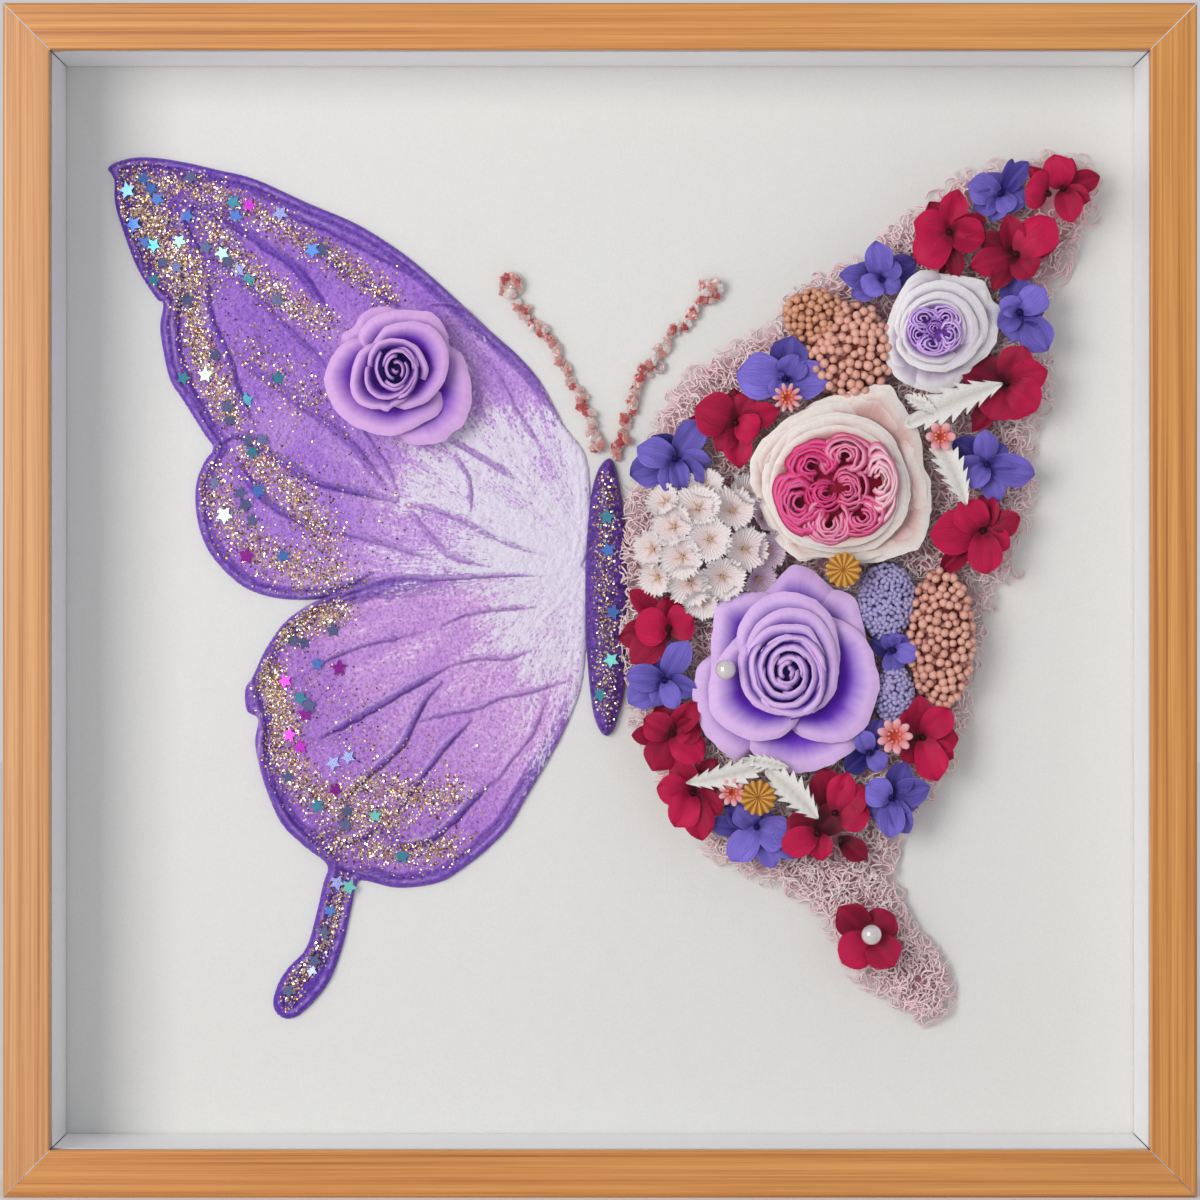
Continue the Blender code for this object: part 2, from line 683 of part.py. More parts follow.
def settle(piece, below):
    """Moves a piece along Y until it is one gap in front of the board and of the pieces below."""
    shape, points = tree_of(piece)
    (left, right), (low, high) = span(points, 0), span(points, 2)
    room = BOARD_FRONT - span(points, 1)[1]
    steps_x = math.ceil((right - left) / SETTLE_STEP)
    steps_z = math.ceil((high - low) / SETTLE_STEP)
    grid = [(left + i * SETTLE_STEP, low + j * SETTLE_STEP) for i in range(steps_x) for j in range(steps_z)]
    for other in below:
        support, other_points = tree_of(other)
        (other_left, other_right), (other_low, other_high) = span(other_points, 0), span(other_points, 2)
        corners = [(point.x, point.z) for point in points + other_points]
        for x, z in grid + corners:
            if not (max(left, other_left) <= x <= min(right, other_right)):
                continue
            if not (max(low, other_low) <= z <= min(high, other_high)):
                continue
            front = support.ray_cast(Vector((x, -FAR, z)), Vector((0, 1, 0)))[0]
            back = shape.ray_cast(Vector((x, FAR, z)), Vector((0, -1, 0)))[0]
            if front and back:
                room = min(room, front.y - back.y)
    piece.location.y += room - GAP
    return piece


def make_flowers(looks):
    """The moss and everything that lies on it, each piece settled on those below it."""
    below = [
        make_moss("moss_forewing", MOSS_FORE_MIDDLE, MOSS_FORE_EDGE, looks),
        make_moss("moss_hindwing", MOSS_HIND_MIDDLE, MOSS_HIND_EDGE, looks),
    ]
    taken = []

    def lay(piece, *flowers):
        below.append(settle(piece, below))
        taken.extend(footprint(flower) for flower in flowers)

    lilac, pink, white = looks["lilac_petal"], looks["pink_petal"], looks["white_petal"]
    lay(rose("lilac_rose", LILAC_ROSE, lilac, petals=6, start=0.4), LILAC_ROSE)
    lay(rose("garden_rose", GARDEN_ROSE, pink, taken, opening=0.5, dent=0.07), GARDEN_ROSE)
    lay(rose("white_rose", WHITE_ROSE, white, taken, petals=6, winds=4), WHITE_ROSE)
    lay(scabiosa("scabiosa_pod", SCABIOSA, looks["scabiosa"], taken), SCABIOSA)
    lay(poppy("poppy_head_middle", MIDDLE_POPPY, looks["poppy"], ()))
    lay(poppy("poppy_head_lower", LOWER_POPPY, looks["poppy"], taken), LOWER_POPPY)
    rice = looks["rice"]
    front = mound("rice_front", RICE_PINK, rice, taken)
    behind = mound("rice_behind", RICE_ORANGE, rice, taken, columns=10, rows=3)
    lay(joined("rice_flower_upper", [front, behind], rice), RICE_PINK, RICE_ORANGE)
    lay(mound("rice_flower_right", RICE_RIGHT, rice, taken), RICE_RIGHT)
    cone = looks["cone"]
    lay(mound("seed_cone_upper", UPPER_CONE, cone, taken, columns=12, bump=0.07, rows=4), UPPER_CONE)
    lay(mound("seed_cone_lower", LOWER_CONE, cone, taken, columns=10, bump=0.07, rows=4), LOWER_CONE)
    for colour, sprigs in HYDRANGEAS.items():
        for where, lumps in sprigs.items():
            name = f"{colour}_hydrangea_{where}"
            flowers = [(*lump, HYDRANGEA_HEIGHT) for lump in lumps]
            lay(hydrangea(name, lumps, looks[colour], taken), *flowers)
    lay(leaf_spray("leaf_spray_upper", UPPER_LEAVES, looks["leaf"]))
    lay(leaf_spray("leaf_spray_lower", LOWER_LEAVES, looks["leaf"]))
    for where, flower in WAXFLOWERS.items():
        lay(waxflower(f"waxflower_{where}", flower, looks["coral"]))
    lay(pearl("pearl_rose", ROSE_PEARL, looks["pearl"]))
    lay(pearl("pearl_tail", TAIL_PEARL, looks["pearl"]))


def build():
    looks = make_materials()
    make_frame(looks)
    make_back_fittings(looks)
    make_painting(looks)
    make_antenna("antenna_left", LEFT_ANTENNA, looks)
    make_antenna("antenna_right", RIGHT_ANTENNA, looks)
    forewing = bpy.data.objects["painted_forewing"]
    wing_rose = rose("painted_wing_rose", WING_ROSE, looks["lilac_petal"], start=1.1)
    settle(wing_rose, [forewing])
    make_flowers(looks)


for leftover in list(bpy.data.objects):
    bpy.data.objects.remove(leftover)
parts = make_collection("pressed_flower_frame")
build()
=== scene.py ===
"""Looks of the shadow-box frame and its butterfly: thick paint at the left, flowers on moss at the right.

Metres, +Z up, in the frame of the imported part. Spots are columns and rows of a straight front view,
and heights are measured off the board's front, towards the viewer.
"""

import math

import bpy
import numpy as np
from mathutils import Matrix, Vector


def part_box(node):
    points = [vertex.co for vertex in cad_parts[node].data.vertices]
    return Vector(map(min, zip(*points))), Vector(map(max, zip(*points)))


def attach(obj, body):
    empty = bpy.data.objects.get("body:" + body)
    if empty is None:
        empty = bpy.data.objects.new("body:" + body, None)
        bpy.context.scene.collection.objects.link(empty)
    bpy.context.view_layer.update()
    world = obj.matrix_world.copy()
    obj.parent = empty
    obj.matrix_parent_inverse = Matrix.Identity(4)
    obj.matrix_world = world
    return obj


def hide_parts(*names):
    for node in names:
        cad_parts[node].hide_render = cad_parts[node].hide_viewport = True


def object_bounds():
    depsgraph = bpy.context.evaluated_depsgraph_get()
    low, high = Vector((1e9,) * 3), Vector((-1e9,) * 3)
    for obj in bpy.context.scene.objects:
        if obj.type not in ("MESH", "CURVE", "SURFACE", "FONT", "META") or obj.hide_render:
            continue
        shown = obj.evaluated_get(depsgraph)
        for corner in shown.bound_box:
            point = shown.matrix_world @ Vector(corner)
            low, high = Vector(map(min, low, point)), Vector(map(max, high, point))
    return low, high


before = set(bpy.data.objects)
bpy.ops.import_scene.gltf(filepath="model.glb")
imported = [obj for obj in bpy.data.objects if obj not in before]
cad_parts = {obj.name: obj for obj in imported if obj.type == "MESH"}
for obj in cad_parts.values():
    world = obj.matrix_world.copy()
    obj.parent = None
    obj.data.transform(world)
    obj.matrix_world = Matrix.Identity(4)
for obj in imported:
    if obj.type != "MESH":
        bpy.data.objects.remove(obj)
CAD_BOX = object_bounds()

# The straight front view in which places are given, and the metres to its column at the frame's front
VIEW_MIDDLE = 600
FRAME_SPAN = 1196
VIEW_DISTANCE = 1.128
SENSOR = 36.0
LENS = 115.6
SIDE = CAD_BOX[1][0] - CAD_BOX[0][0]
SCALE = SIDE / FRAME_SPAN
FRONT = CAD_BOX[0][1]
BOARD_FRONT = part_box("backing_board")[0].y
BOARD_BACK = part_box("backing_board")[1].y
BOARD_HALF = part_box("backing_board")[1].x

# Heights of the paint's bed and rim, how far a bed's edge is sunk into the board, and where the wings meet
PAINT_BASE = 0.0007
PAINT_RIM = 0.0013
SUNK = -0.0001
MILLIMETRE = 0.001
WING_ROOT = (590, 560)
# Steps of the paint's, the body's and the moss bed's mesh, in columns of the view
PAINT_STEP = 1.6
BODY_STEP = 1.2
MOSS_STEP = 3.0
# The board's mesh, and the height of its pebbles
BOARD_GRID = 200
PEBBLE = 0.00011

# Paint: outlines, and strokes as (half width, height in mm, darkness, spots)
FORE_OUTLINE = (
    (589, 468), (563, 423), (543, 385), (520, 357), (494, 334), (464, 306), (431, 276), (400, 251),
    (357, 224), (306, 202), (255, 179), (219, 170), (179, 161), (145, 157), (122, 160), (108, 168),
    (114, 180), (115, 204), (125, 237), (138, 270), (156, 298), (163, 304), (160, 326), (163, 350),
    (170, 380), (184, 402), (204, 434), (213, 448), (204, 462), (196, 484), (196, 512), (203, 540),
    (217, 563), (242, 586), (270, 597), (300, 600), (330, 598), (400, 588), (500, 580), (580, 572),
)  # fmt: skip
HIND_OUTLINE = (
    (584, 566), (500, 576), (400, 581), (350, 589), (318, 600), (300, 610), (283, 624), (265, 650),
    (253, 676), (245, 690), (247, 711), (258, 719), (255, 742), (260, 770), (270, 800), (283, 826),
    (306, 848), (327, 865), (323, 884), (316, 915), (306, 948), (288, 968), (278, 984), (273, 1002),
    (277, 1014), (288, 1019), (301, 1014), (319, 996), (332, 976), (343, 945), (351, 910), (357, 884),
    (366, 881), (398, 888), (438, 883), (464, 868), (489, 848), (510, 826), (525, 800), (543, 770),
    (563, 734), (579, 696), (585, 664), (587, 620),
)  # fmt: skip
BODY_OUTLINE = (
    (609, 458), (599, 468), (592, 490), (587, 530), (585, 575), (585, 617), (588, 670), (593, 712),
    (600, 731), (607, 736), (614, 730), (619, 715), (625, 690), (628, 640), (628, 590), (626, 530),
    (621, 492), (616, 468),
)  # fmt: skip
FORE_STROKES = (
    (5, 0.9, 1.0, (
        (192, 204), (215, 212), (240, 228), (264, 245), (290, 262), (306, 280), (320, 302), (333, 325),
    )),
    (5, 0.8, 0.9, ((192, 204), (183, 222), (190, 240), (203, 258))),
    (4, 0.7, 0.9, ((278, 208), (302, 218), (330, 230), (356, 243), (380, 256), (410, 274))),
    (4, 0.7, 0.9, ((320, 255), (345, 270), (372, 287), (398, 305))),
    (3, 0.6, 0.6, ((205, 258), (228, 262), (245, 283), (270, 310), (295, 335), (315, 355), (330, 375))),
    (3, 0.5, 0.4, ((335, 380), (352, 410), (368, 440), (385, 465), (398, 495))),
    (5, 0.8, 0.9, ((180, 272), (176, 300), (175, 330), (180, 362), (192, 392), (212, 425))),
    (5, 0.8, 0.9, (
        (207, 272), (206, 298), (212, 325), (222, 347), (230, 367), (236, 390), (246, 412), (254, 430),
    )),
    (4, 0.6, 0.6, (
        (232, 350), (255, 370), (280, 388), (305, 408), (330, 425), (355, 448), (375, 475), (396, 500),
    )),
    (5, 0.8, 0.9, (
        (215, 447), (236, 434), (262, 448), (285, 463), (308, 478), (335, 486), (362, 492), (395, 500),
    )),
    (4, 0.8, 0.9, ((236, 460), (248, 480), (262, 497), (282, 511), (302, 522), (325, 530))),
    (3, 0.5, 0.3, ((325, 530), (355, 535), (390, 545), (430, 558))),
    (4, 0.8, 0.7, ((300, 598), (325, 592), (348, 582), (372, 572))),
    (3, 0.6, 0.35, ((340, 594), (370, 584), (400, 577), (440, 578), (490, 575), (545, 575))),
    (3, 0.5, 0.5, ((432, 303), (462, 308), (488, 335), (515, 365), (545, 400), (568, 430))),
    (3, 0.5, 0.2, ((470, 340), (500, 380), (520, 420), (545, 450))),
    (3, 0.6, 0.35, ((450, 440), (478, 455), (500, 468), (520, 482))),
    (3, 0.5, 0.3, ((455, 455), (468, 480), (470, 510))),
    (3, 0.5, 0.25, ((405, 505), (425, 530), (450, 555), (490, 566))),
    (3, 0.5, 0.2, ((405, 502), (430, 508), (458, 518), (490, 535), (515, 545), (545, 555))),
)  # fmt: skip
HIND_STROKES = (
    (4, 0.7, 0.8, ((300, 614), (320, 602), (345, 592), (370, 586))),
    (3, 0.5, 0.4, ((310, 668), (335, 655), (362, 645), (390, 638), (415, 633))),
    (5, 0.9, 0.8, ((322, 735), (350, 720), (378, 704), (402, 690), (425, 678), (448, 665))),
    (3, 0.4, 0.3, ((448, 665), (480, 657), (505, 658), (530, 650))),
    (5, 0.9, 0.8, ((342, 800), (358, 782), (382, 762), (400, 745), (412, 722), (425, 698), (440, 682))),
    (4, 0.8, 0.7, ((395, 812), (410, 790), (430, 764), (448, 742), (470, 720))),
    (5, 0.8, 0.9, ((322, 828), (340, 839), (360, 836), (380, 822))),
    (5, 0.8, 0.9, ((380, 826), (400, 843), (426, 840), (450, 822), (470, 800), (492, 780))),
    (3, 0.4, 0.35, ((415, 722), (445, 713), (475, 708), (500, 697), (532, 690), (568, 680))),
    (3, 0.4, 0.2, ((492, 785), (510, 760), (530, 735), (545, 702))),
    (3, 0.4, 0.25, ((440, 625), (470, 612), (500, 608), (535, 606))),
    (4, 0.6, 0.9, (
        (262, 650), (252, 680), (262, 722), (262, 770), (285, 815), (325, 858), (370, 874), (420, 878),
    )),
)  # fmt: skip
# Glitter, as (half width, flakes, spots)
FORE_GLITTER = (
    (13, 900, ((135, 178), (190, 186), (240, 204), (280, 226), (320, 250), (355, 272), (392, 298))),
    (24, 1300, ((130, 185), (145, 210), (160, 240), (175, 268), (200, 285))),
    (14, 700, ((205, 215), (225, 245), (250, 275), (285, 300), (325, 325))),
    (15, 800, ((188, 290), (195, 330), (205, 365), (222, 400), (235, 422))),
    (22, 200, ((240, 340), (265, 365), (295, 385), (330, 410))),
    (20, 900, ((215, 470), (218, 500), (232, 530), (262, 552), (300, 570), (345, 575))),
    (17, 600, ((245, 450), (275, 475), (300, 500), (330, 545))),
    (60, 140, ((250, 350), (330, 440), (370, 520))),
)
HIND_GLITTER = (
    (15, 500, ((275, 640), (300, 622), (345, 612))),
    (14, 500, ((268, 665), (275, 700), (290, 730))),
    (17, 900, ((275, 735), (290, 770), (315, 795), (350, 812), (400, 820))),
    (14, 500, ((320, 835), (360, 850), (410, 855), (460, 845))),
    (13, 450, ((350, 790), (375, 780), (400, 795), (440, 800), (460, 790))),
    (40, 250, ((300, 660), (340, 720), (400, 780), (470, 800))),
    (9, 380, ((343, 880), (335, 915), (322, 950), (300, 975), (286, 1005))),
)
BODY_GLITTER = ((11, 480, ((606, 478), (605, 560), (607, 640), (606, 715))),)
# Star sequins by finish, as spots
STARS = {
    "forewing": {
        "bright": ((179, 241), (222, 253), (205, 375), (224, 515)),
        "blue": (
            (143, 178), (151, 188), (157, 199), (133, 224), (187, 216), (235, 216), (258, 491), (127, 190),
            (143, 243), (283, 556), (312, 250),
        ),
        "teal": (
            (153, 245), (154, 280), (183, 378), (246, 400), (278, 378), (248, 280), (233, 202), (252, 452),
        ),
        "grey": (
            (190, 177), (280, 213), (322, 250), (163, 262), (176, 267), (205, 247), (228, 262), (238, 270),
            (277, 300), (187, 300), (215, 355), (227, 407), (230, 420), (248, 440), (240, 493), (245, 505),
            (252, 520), (213, 483), (262, 440),
        ),
        "magenta": ((249, 205), (246, 556)),
    },
    "hindwing": {
        "bright": ((375, 816), (349, 887)),
        "blue": ((317, 664), (330, 911)),
        "teal": ((317, 806), (300, 698), (402, 856)),
        "grey": (
            (294, 641), (304, 643), (309, 706), (288, 777), (333, 763), (348, 757), (347, 811), (345, 825),
            (333, 630), (337, 883), (323, 933), (314, 961), (311, 970), (288, 991),
        ),
        "magenta": ((339, 668), (285, 681), (305, 714), (289, 735), (300, 747), (335, 790)),
    },
    "body": {"blue": ((608, 550), (613, 612)), "teal": ((607, 517), (600, 695)), "bright": ((611, 660),)},
}  # fmt: skip
STAR_TINTS = {
    "bright": (150, 250, 240), "blue": (95, 140, 225), "teal": (85, 165, 190),
    "grey": (112, 118, 165), "magenta": (165, 45, 170),
}  # fmt: skip
STAR_RADIUS = 8.4
# Glitter flakes: more of them than the bands say, their radii in metres, their tints and the shares of these
GLITTER_CROWD = 2.4
FLAKE_RADII = (0.00016, 0.00036)
FLAKE_TINTS = ((255, 238, 224), (228, 186, 134), (168, 118, 76), (96, 60, 66))
FLAKE_SHARES = (0.34, 0.30, 0.22, 0.14)

# Purples of each wing from rim to root, and the painted shade of the creases beside strokes
FORE_PURPLES = ((98, 48, 182), (172, 118, 224), (212, 164, 236), (226, 194, 238))
HIND_PURPLES = ((98, 48, 180), (186, 128, 222), (224, 172, 236), (228, 196, 238))
CREASE_SHADE = (62, 24, 128)
# The side of a stroke, in the view, that gets a painted highlight; the other side gets painted crease shade
PAINTED_LIGHT_SIDE = (-0.6, -0.8)
WHITE = (255, 255, 255)
BLACK = (0, 0, 0)

# Moss
MOSS_FORE = (
    (1020, 160), (1060, 156), (1090, 165), (1100, 198), (1080, 250), (1050, 300), (1048, 350), (1052, 400),
    (1032, 442), (1034, 500), (1018, 548), (996, 584), (800, 598), (630, 598), (628, 500), (644, 448),
    (666, 402), (704, 362), (760, 330), (800, 290), (860, 255), (910, 215), (960, 175),
)  # fmt: skip
MOSS_HIND = (
    (990, 588), (980, 620), (980, 650), (971, 700), (958, 750), (936, 790), (900, 836), (896, 874),
    (912, 918), (945, 966), (950, 1000), (940, 1020), (915, 1020), (885, 995), (856, 979), (833, 938),
    (800, 897), (740, 872), (690, 832), (642, 742), (628, 690), (628, 598), (800, 598),
)  # fmt: skip
MOSS_TOP = 0.0066
MOSS_STRANDS = 3250
# A strand's rings, the columns between them and its radius
STRAND_STEPS = 9
STRAND_STRIDE = (1.7, 3.0)
STRAND_RADIUS = (0.00025, 0.0004)
# Ovals where flowers hide the moss, as (column, row, half width, half height)
HIDDEN_MOSS = (
    (789, 670, 79.05, 86.7), (842, 475, 77.35, 75.65), (942, 334, 51.85, 56.95), (709, 543, 55, 55),
    (940, 638, 26, 60), (849, 352, 38, 42), (884, 601, 22, 30),
)  # fmt: skip


def linear(colour):
    """A linear colour from an sRGB one of 0 to 255."""
    return (np.asarray(colour, float) / 255) ** 2.2


def blend(first, second, share):
    """Colours on the way from the first to the second, by shares from 0 to 1."""
    share = np.clip(share, 0, 1)[..., None]
    return np.asarray(first) * (1 - share) + np.asarray(second) * share


def shades(dark, light, share):
    """Linear colours on the way between two sRGB ones."""
    return blend(linear(dark), linear(light), share)


def seen(column, row, height=0.0):
    """The x and z of a thing at that height, from its column and row in the front view."""
    distance = VIEW_DISTANCE + BOARD_FRONT - FRONT - height
    scale = SCALE * distance / VIEW_DISTANCE
    return (column - VIEW_MIDDLE) * scale, SIDE / 2 - (row - VIEW_MIDDLE) * scale


def at(columns, rows, heights):
    """The points at heights off the board that show at columns and rows."""
    x, z = seen(columns, rows, heights)
    return np.stack([x, BOARD_FRONT - heights + 0 * x, z], axis=-1)


def room_of(node_name):
    """How far the foot of a CAD node stands off the board, and the node's height."""
    low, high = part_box(node_name)
    return BOARD_FRONT - high.y, high.y - low.y


def noise(x, y, seed=0):
    """Smooth noise from -1 to 1, with one lump to a unit."""
    left, low = np.floor(x), np.floor(y)
    across, up = x - left, y - low
    across, up = across**2 * (3 - 2 * across), up**2 * (3 - 2 * up)

    def corner(i, j):
        value = np.sin((left + i) * 127.1 + (low + j) * 311.7 + seed * 74.7) * 43758.5453
        return 2 * (value - np.floor(value)) - 1

    bottom = corner(0, 0) * (1 - across) + corner(1, 0) * across
    top = corner(0, 1) * (1 - across) + corner(1, 1) * across
    return bottom * (1 - up) + top * up


def grain(x, y, seed):
    """Noise with finer noise on it."""
    return sum(noise(x * 2**i, y * 2**i, seed + 5 * i) / 2**i for i in range(3)) / 1.6


def bulge(distance, width):
    """A dome across a line, from 1 on it to 0 at a width from it."""
    return np.clip(1 - (distance / width) ** 2, 0, 1)


def glow(distance, width):
    """A soft line, from 1 on it and fading over a width."""
    return np.exp(-((distance / width) ** 2))


def segments(spots):
    """The starts and ends of an open path's stretches."""
    spots = np.asarray(spots, float)
    return spots[:-1], spots[1:]


def distance_to(points, spots):
    """Each point's distance to a path, its nearest spot on it, and how far along that is, from 0 to 1."""
    best = np.full(len(points), 1e9)
    nearest = np.zeros((len(points), 2))
    share = np.zeros(len(points))
    starts, ends = segments(spots)
    for index, (start, end) in enumerate(zip(starts, ends)):
        way = end - start
        along = np.clip(((points - start) @ way) / max(way @ way, 1e-9), 0, 1)
        spot = start + along[:, None] * way
        distance = np.hypot(*(points - spot).T)
        closer = distance < best
        best[closer] = distance[closer]
        nearest[closer] = spot[closer]
        share[closer] = (index + along[closer]) / len(starts)
    return best, nearest, share


def inside(points, outline):
    """Whether each point is inside a closed outline."""
    result = np.zeros(len(points), bool)
    x, y = points.T
    starts, ends = segments([*outline, outline[0]])
    for (x0, y0), (x1, y1) in zip(starts, ends):
        if y0 == y1:
            continue
        crosses = ((y0 > y) != (y1 > y)) & (x < (x1 - x0) * (y - y0) / (y1 - y0) + x0)
        result ^= crosses
    return result


def from_edge(spots, edge):
    """Each spot's distance to a closed outline, and the nearest spot on it."""
    distance, nearest, _ = distance_to(spots, np.concatenate([edge, edge[:1]]))
    return distance, nearest


def about_root(spots):
    """Each spot's distance from the wings' root, and its angle round it."""
    off = spots - np.array(WING_ROOT, float)
    return np.hypot(*off.T), np.arctan2(off[:, 1], -off[:, 0])


def bent(before, start, end, after, t):
    """Spots a share t of the way from start to end, on smooth curves through all four."""
    return 0.5 * (
        2 * start + (end - before) * t + (2 * before - 5 * start + 4 * end - after) * t**2
        + (3 * start - before - 3 * end + after) * t**3
    )  # fmt: skip


def rounded(outline):
    """A closed outline with a smooth curve through its spots."""
    spots = np.asarray(outline, float)
    before, after, beyond = (np.roll(spots, shift, 0) for shift in (1, -1, -2))
    return np.stack([bent(before, spots, after, beyond, step / 5) for step in range(5)], 1).reshape(-1, 2)


def through(spots, count):
    """Evenly spread spots along an open path."""
    spots = np.asarray(spots, float)
    lengths = np.concatenate([[0], np.cumsum(np.hypot(*np.diff(spots, axis=0).T))])
    at_share = np.linspace(0, lengths[-1], count)
    return np.stack([np.interp(at_share, lengths, spots[:, axis]) for axis in range(2)], 1)


def curved(spots, count):
    """Evenly spread spots along a smooth open curve through these."""
    spots = np.asarray(spots, float)
    knots = np.concatenate([2 * spots[:1] - spots[1:2], spots, 2 * spots[-1:] - spots[-2:-1]])
    parts = knots[:-3], knots[1:-2], knots[2:-1], knots[3:]
    dense = [bent(*parts, t) for t in np.linspace(0, 1, 6, endpoint=False)]
    return through(np.concatenate([np.stack(dense, 1).reshape(-1, 2), spots[-1:]]), count)


class Batch:
    """One mesh grown from many parts. Each point has its own tint and a place (across, along) on its part."""

    def __init__(self):
        self.points, self.tints, self.places, self.faces = [], [], [], []
        self.count = 0

    def add(self, points, faces, tint, places=None):
        points = np.asarray(points, float).reshape(-1, 3)
        tint = np.asarray(tint, float)
        tint = np.broadcast_to(tint.reshape(-1, tint.shape[-1]), (len(points), tint.shape[-1]))
        if places is None:
            places = np.zeros((len(points), 2))
        self.points.append(points)
        self.tints.append(tint)
        self.places.append(np.asarray(places, float).reshape(-1, 2))
        self.faces += (np.asarray(faces) + self.count).tolist()
        self.count += len(points)

    def piece(self, name, look, slot, *nodes, smooth=True):
        """The object, riding on the frame and standing for its CAD nodes."""
        mesh = bpy.data.meshes.new(name)
        mesh.from_pydata(np.concatenate(self.points).tolist(), [], self.faces)
        mesh.validate()
        tints = np.concatenate(self.tints)
        colours = tints if tints.shape[1] == 4 else np.concatenate([tints, np.ones((len(tints), 1))], 1)
        attribute = mesh.color_attributes.new("tint", "FLOAT_COLOR", "POINT")
        attribute.data.foreach_set("color", colours.ravel())
        places = np.concatenate(self.places)
        corners = np.zeros(len(mesh.loops), int)
        mesh.loops.foreach_get("vertex_index", corners)
        mesh.uv_layers.new(name="place").data.foreach_set("uv", places[corners].ravel())
        mesh.polygons.foreach_set("use_smooth", [smooth] * len(mesh.polygons))
        mesh.materials.append(look)
        made = bpy.data.objects.new(name, mesh)
        bpy.context.scene.collection.objects.link(made)
        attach(made, "root")
        if nodes:
            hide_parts(*nodes)


def grid_faces(rows, columns, wrapped=False):
    """The quads of a grid whose points run row by row. A wrapped one joins its last column to its first."""
    first = np.arange(rows - 1)[:, None] * columns
    step = np.arange(columns if wrapped else columns - 1)[None, :]
    after = (step + 1) % columns
    corners = [first + step, first + after, first + columns + after, first + columns + step]
    return np.stack(corners, -1).reshape(-1, 4)


def placed(local, column, row, height):
    """Points from local ones (right, up, out), about a spot at a height off the board."""
    x, z = seen(column, row, height)
    right, up, out = np.moveaxis(local, -1, 0)
    return np.stack([x + right, BOARD_FRONT - height - out, z + up], axis=-1)


def turned(local, spin=0.0, lean=0.0, toward=0.0):
    """Local points spun about the way out, then leant by an angle toward a direction in the board."""
    c, s = math.cos(spin - toward), math.sin(spin - toward)
    right, up, out = np.moveaxis(np.asarray(local), -1, 0)
    right, up = right * c - up * s, right * s + up * c
    c, s = math.cos(lean), math.sin(lean)
    right, out = right * c + out * s, out * c - right * s
    c, s = math.cos(toward), math.sin(toward)
    return np.stack([right * c - up * s, right * s + up * c, out], -1)


# Materials
def new_look(name, **sockets):
    """A material whose shader has these sockets set."""
    look = bpy.data.materials.new(name)
    look.use_nodes = True
    shader = look.node_tree.nodes["Principled BSDF"]
    for key, value in sockets.items():
        shader.inputs[key.replace("_", " ")].default_value = value
    return look, shader


def node(look, kind, settings=None, **sockets):
    """A shader node. Its sockets are set to a value or linked to another node's output."""
    made = look.node_tree.nodes.new("ShaderNode" + kind)
    for key, value in (settings or {}).items():
        setattr(made, key, value)
    for key, value in sockets.items():
        link(look, made.inputs[key.replace("_", " ")], value)
    return made


def link(look, socket, value):
    """A socket linked to another node's output, or set to a value."""
    if isinstance(value, bpy.types.NodeSocket):
        look.node_tree.links.new(value, socket)
    else:
        socket.default_value = value


def ramp(look, factor, *stops):
    """A colour from a factor, by stops of (position, sRGB colour)."""
    made = node(look, "ValToRGB", Fac=factor)
    marks = made.color_ramp.elements
    while len(marks) < len(stops):
        marks.new(0.5)
    for mark, (position, colour) in zip(marks, stops):
        mark.position = position
        mark.color = (*linear(colour), 1.0)
    return made.outputs["Color"]


def mixed(look, factor, first, second, how="MIX"):
    """The colour between two, or the first with the second blended onto it."""
    made = look.node_tree.nodes.new("ShaderNodeMix")
    made.data_type = "RGBA"
    made.blend_type = how
    link(look, made.inputs[0], factor)
    for socket, value in zip((made.inputs[6], made.inputs[7]), (first, second)):
        link(look, socket, value if isinstance(value, bpy.types.NodeSocket) else (*value, 1.0))
    return made.outputs[2]


def multiplied(look, first, second, share=1.0):
    """The first colour darkened by the second."""
    return mixed(look, share, first, second, "MULTIPLY")


def maths(look, how, first, second):
    """The result of a sum, a product or the like."""
    made = node(look, "Math", {"operation": how})
    link(look, made.inputs[0], first)
    link(look, made.inputs[1], second)
    return made.outputs[0]


def stretched(look, scale, on_part=False):
    """Coordinates of the object in metres, or of a place on its part, scaled along each axis."""
    if on_part:
        source = node(look, "UVMap", {"uv_map": "place"}).outputs["UV"]
    else:
        source = node(look, "TexCoord").outputs["Object"]
    return node(look, "Mapping", Vector=source, Scale=scale).outputs["Vector"]


def speckle(look, scale, vector=None, detail=4.0, roughness=0.6):
    """Noise from 0 to 1."""
    if vector is None:
        vector = node(look, "TexCoord").outputs["Object"]
    sockets = {"Vector": vector, "Scale": scale, "Detail": detail, "Roughness": roughness}
    return node(look, "TexNoise", **sockets).outputs["Fac"]


def own_tint(look):
    """The node that gives the tints of the piece's points."""
    return node(look, "VertexColor", {"layer_name": "tint"})


def surface(look, shader, colour, height, strength, distance):
    """The look with its shader's colour set, and a bump from a height."""
    link(look, shader.inputs["Base Color"], colour)
    bump = node(look, "Bump", Height=height, Strength=strength, Distance=distance)
    link(look, shader.inputs["Normal"], bump.outputs["Normal"])
    return look


def tinted(name, scale=900.0, shade=0.25, bump=0.25, distance=0.0002, **sockets):
    """A material in its piece's own tints, with fine mottling and a fine relief."""
    look, shader = new_look(name, **sockets)
    mottle = speckle(look, scale)
    dark = ramp(look, mottle, (0.25, (255 - 200 * shade,) * 3), (0.75, WHITE))
    colour = multiplied(look, own_tint(look).outputs["Color"], dark)
    return surface(look, shader, colour, mottle, bump, distance)


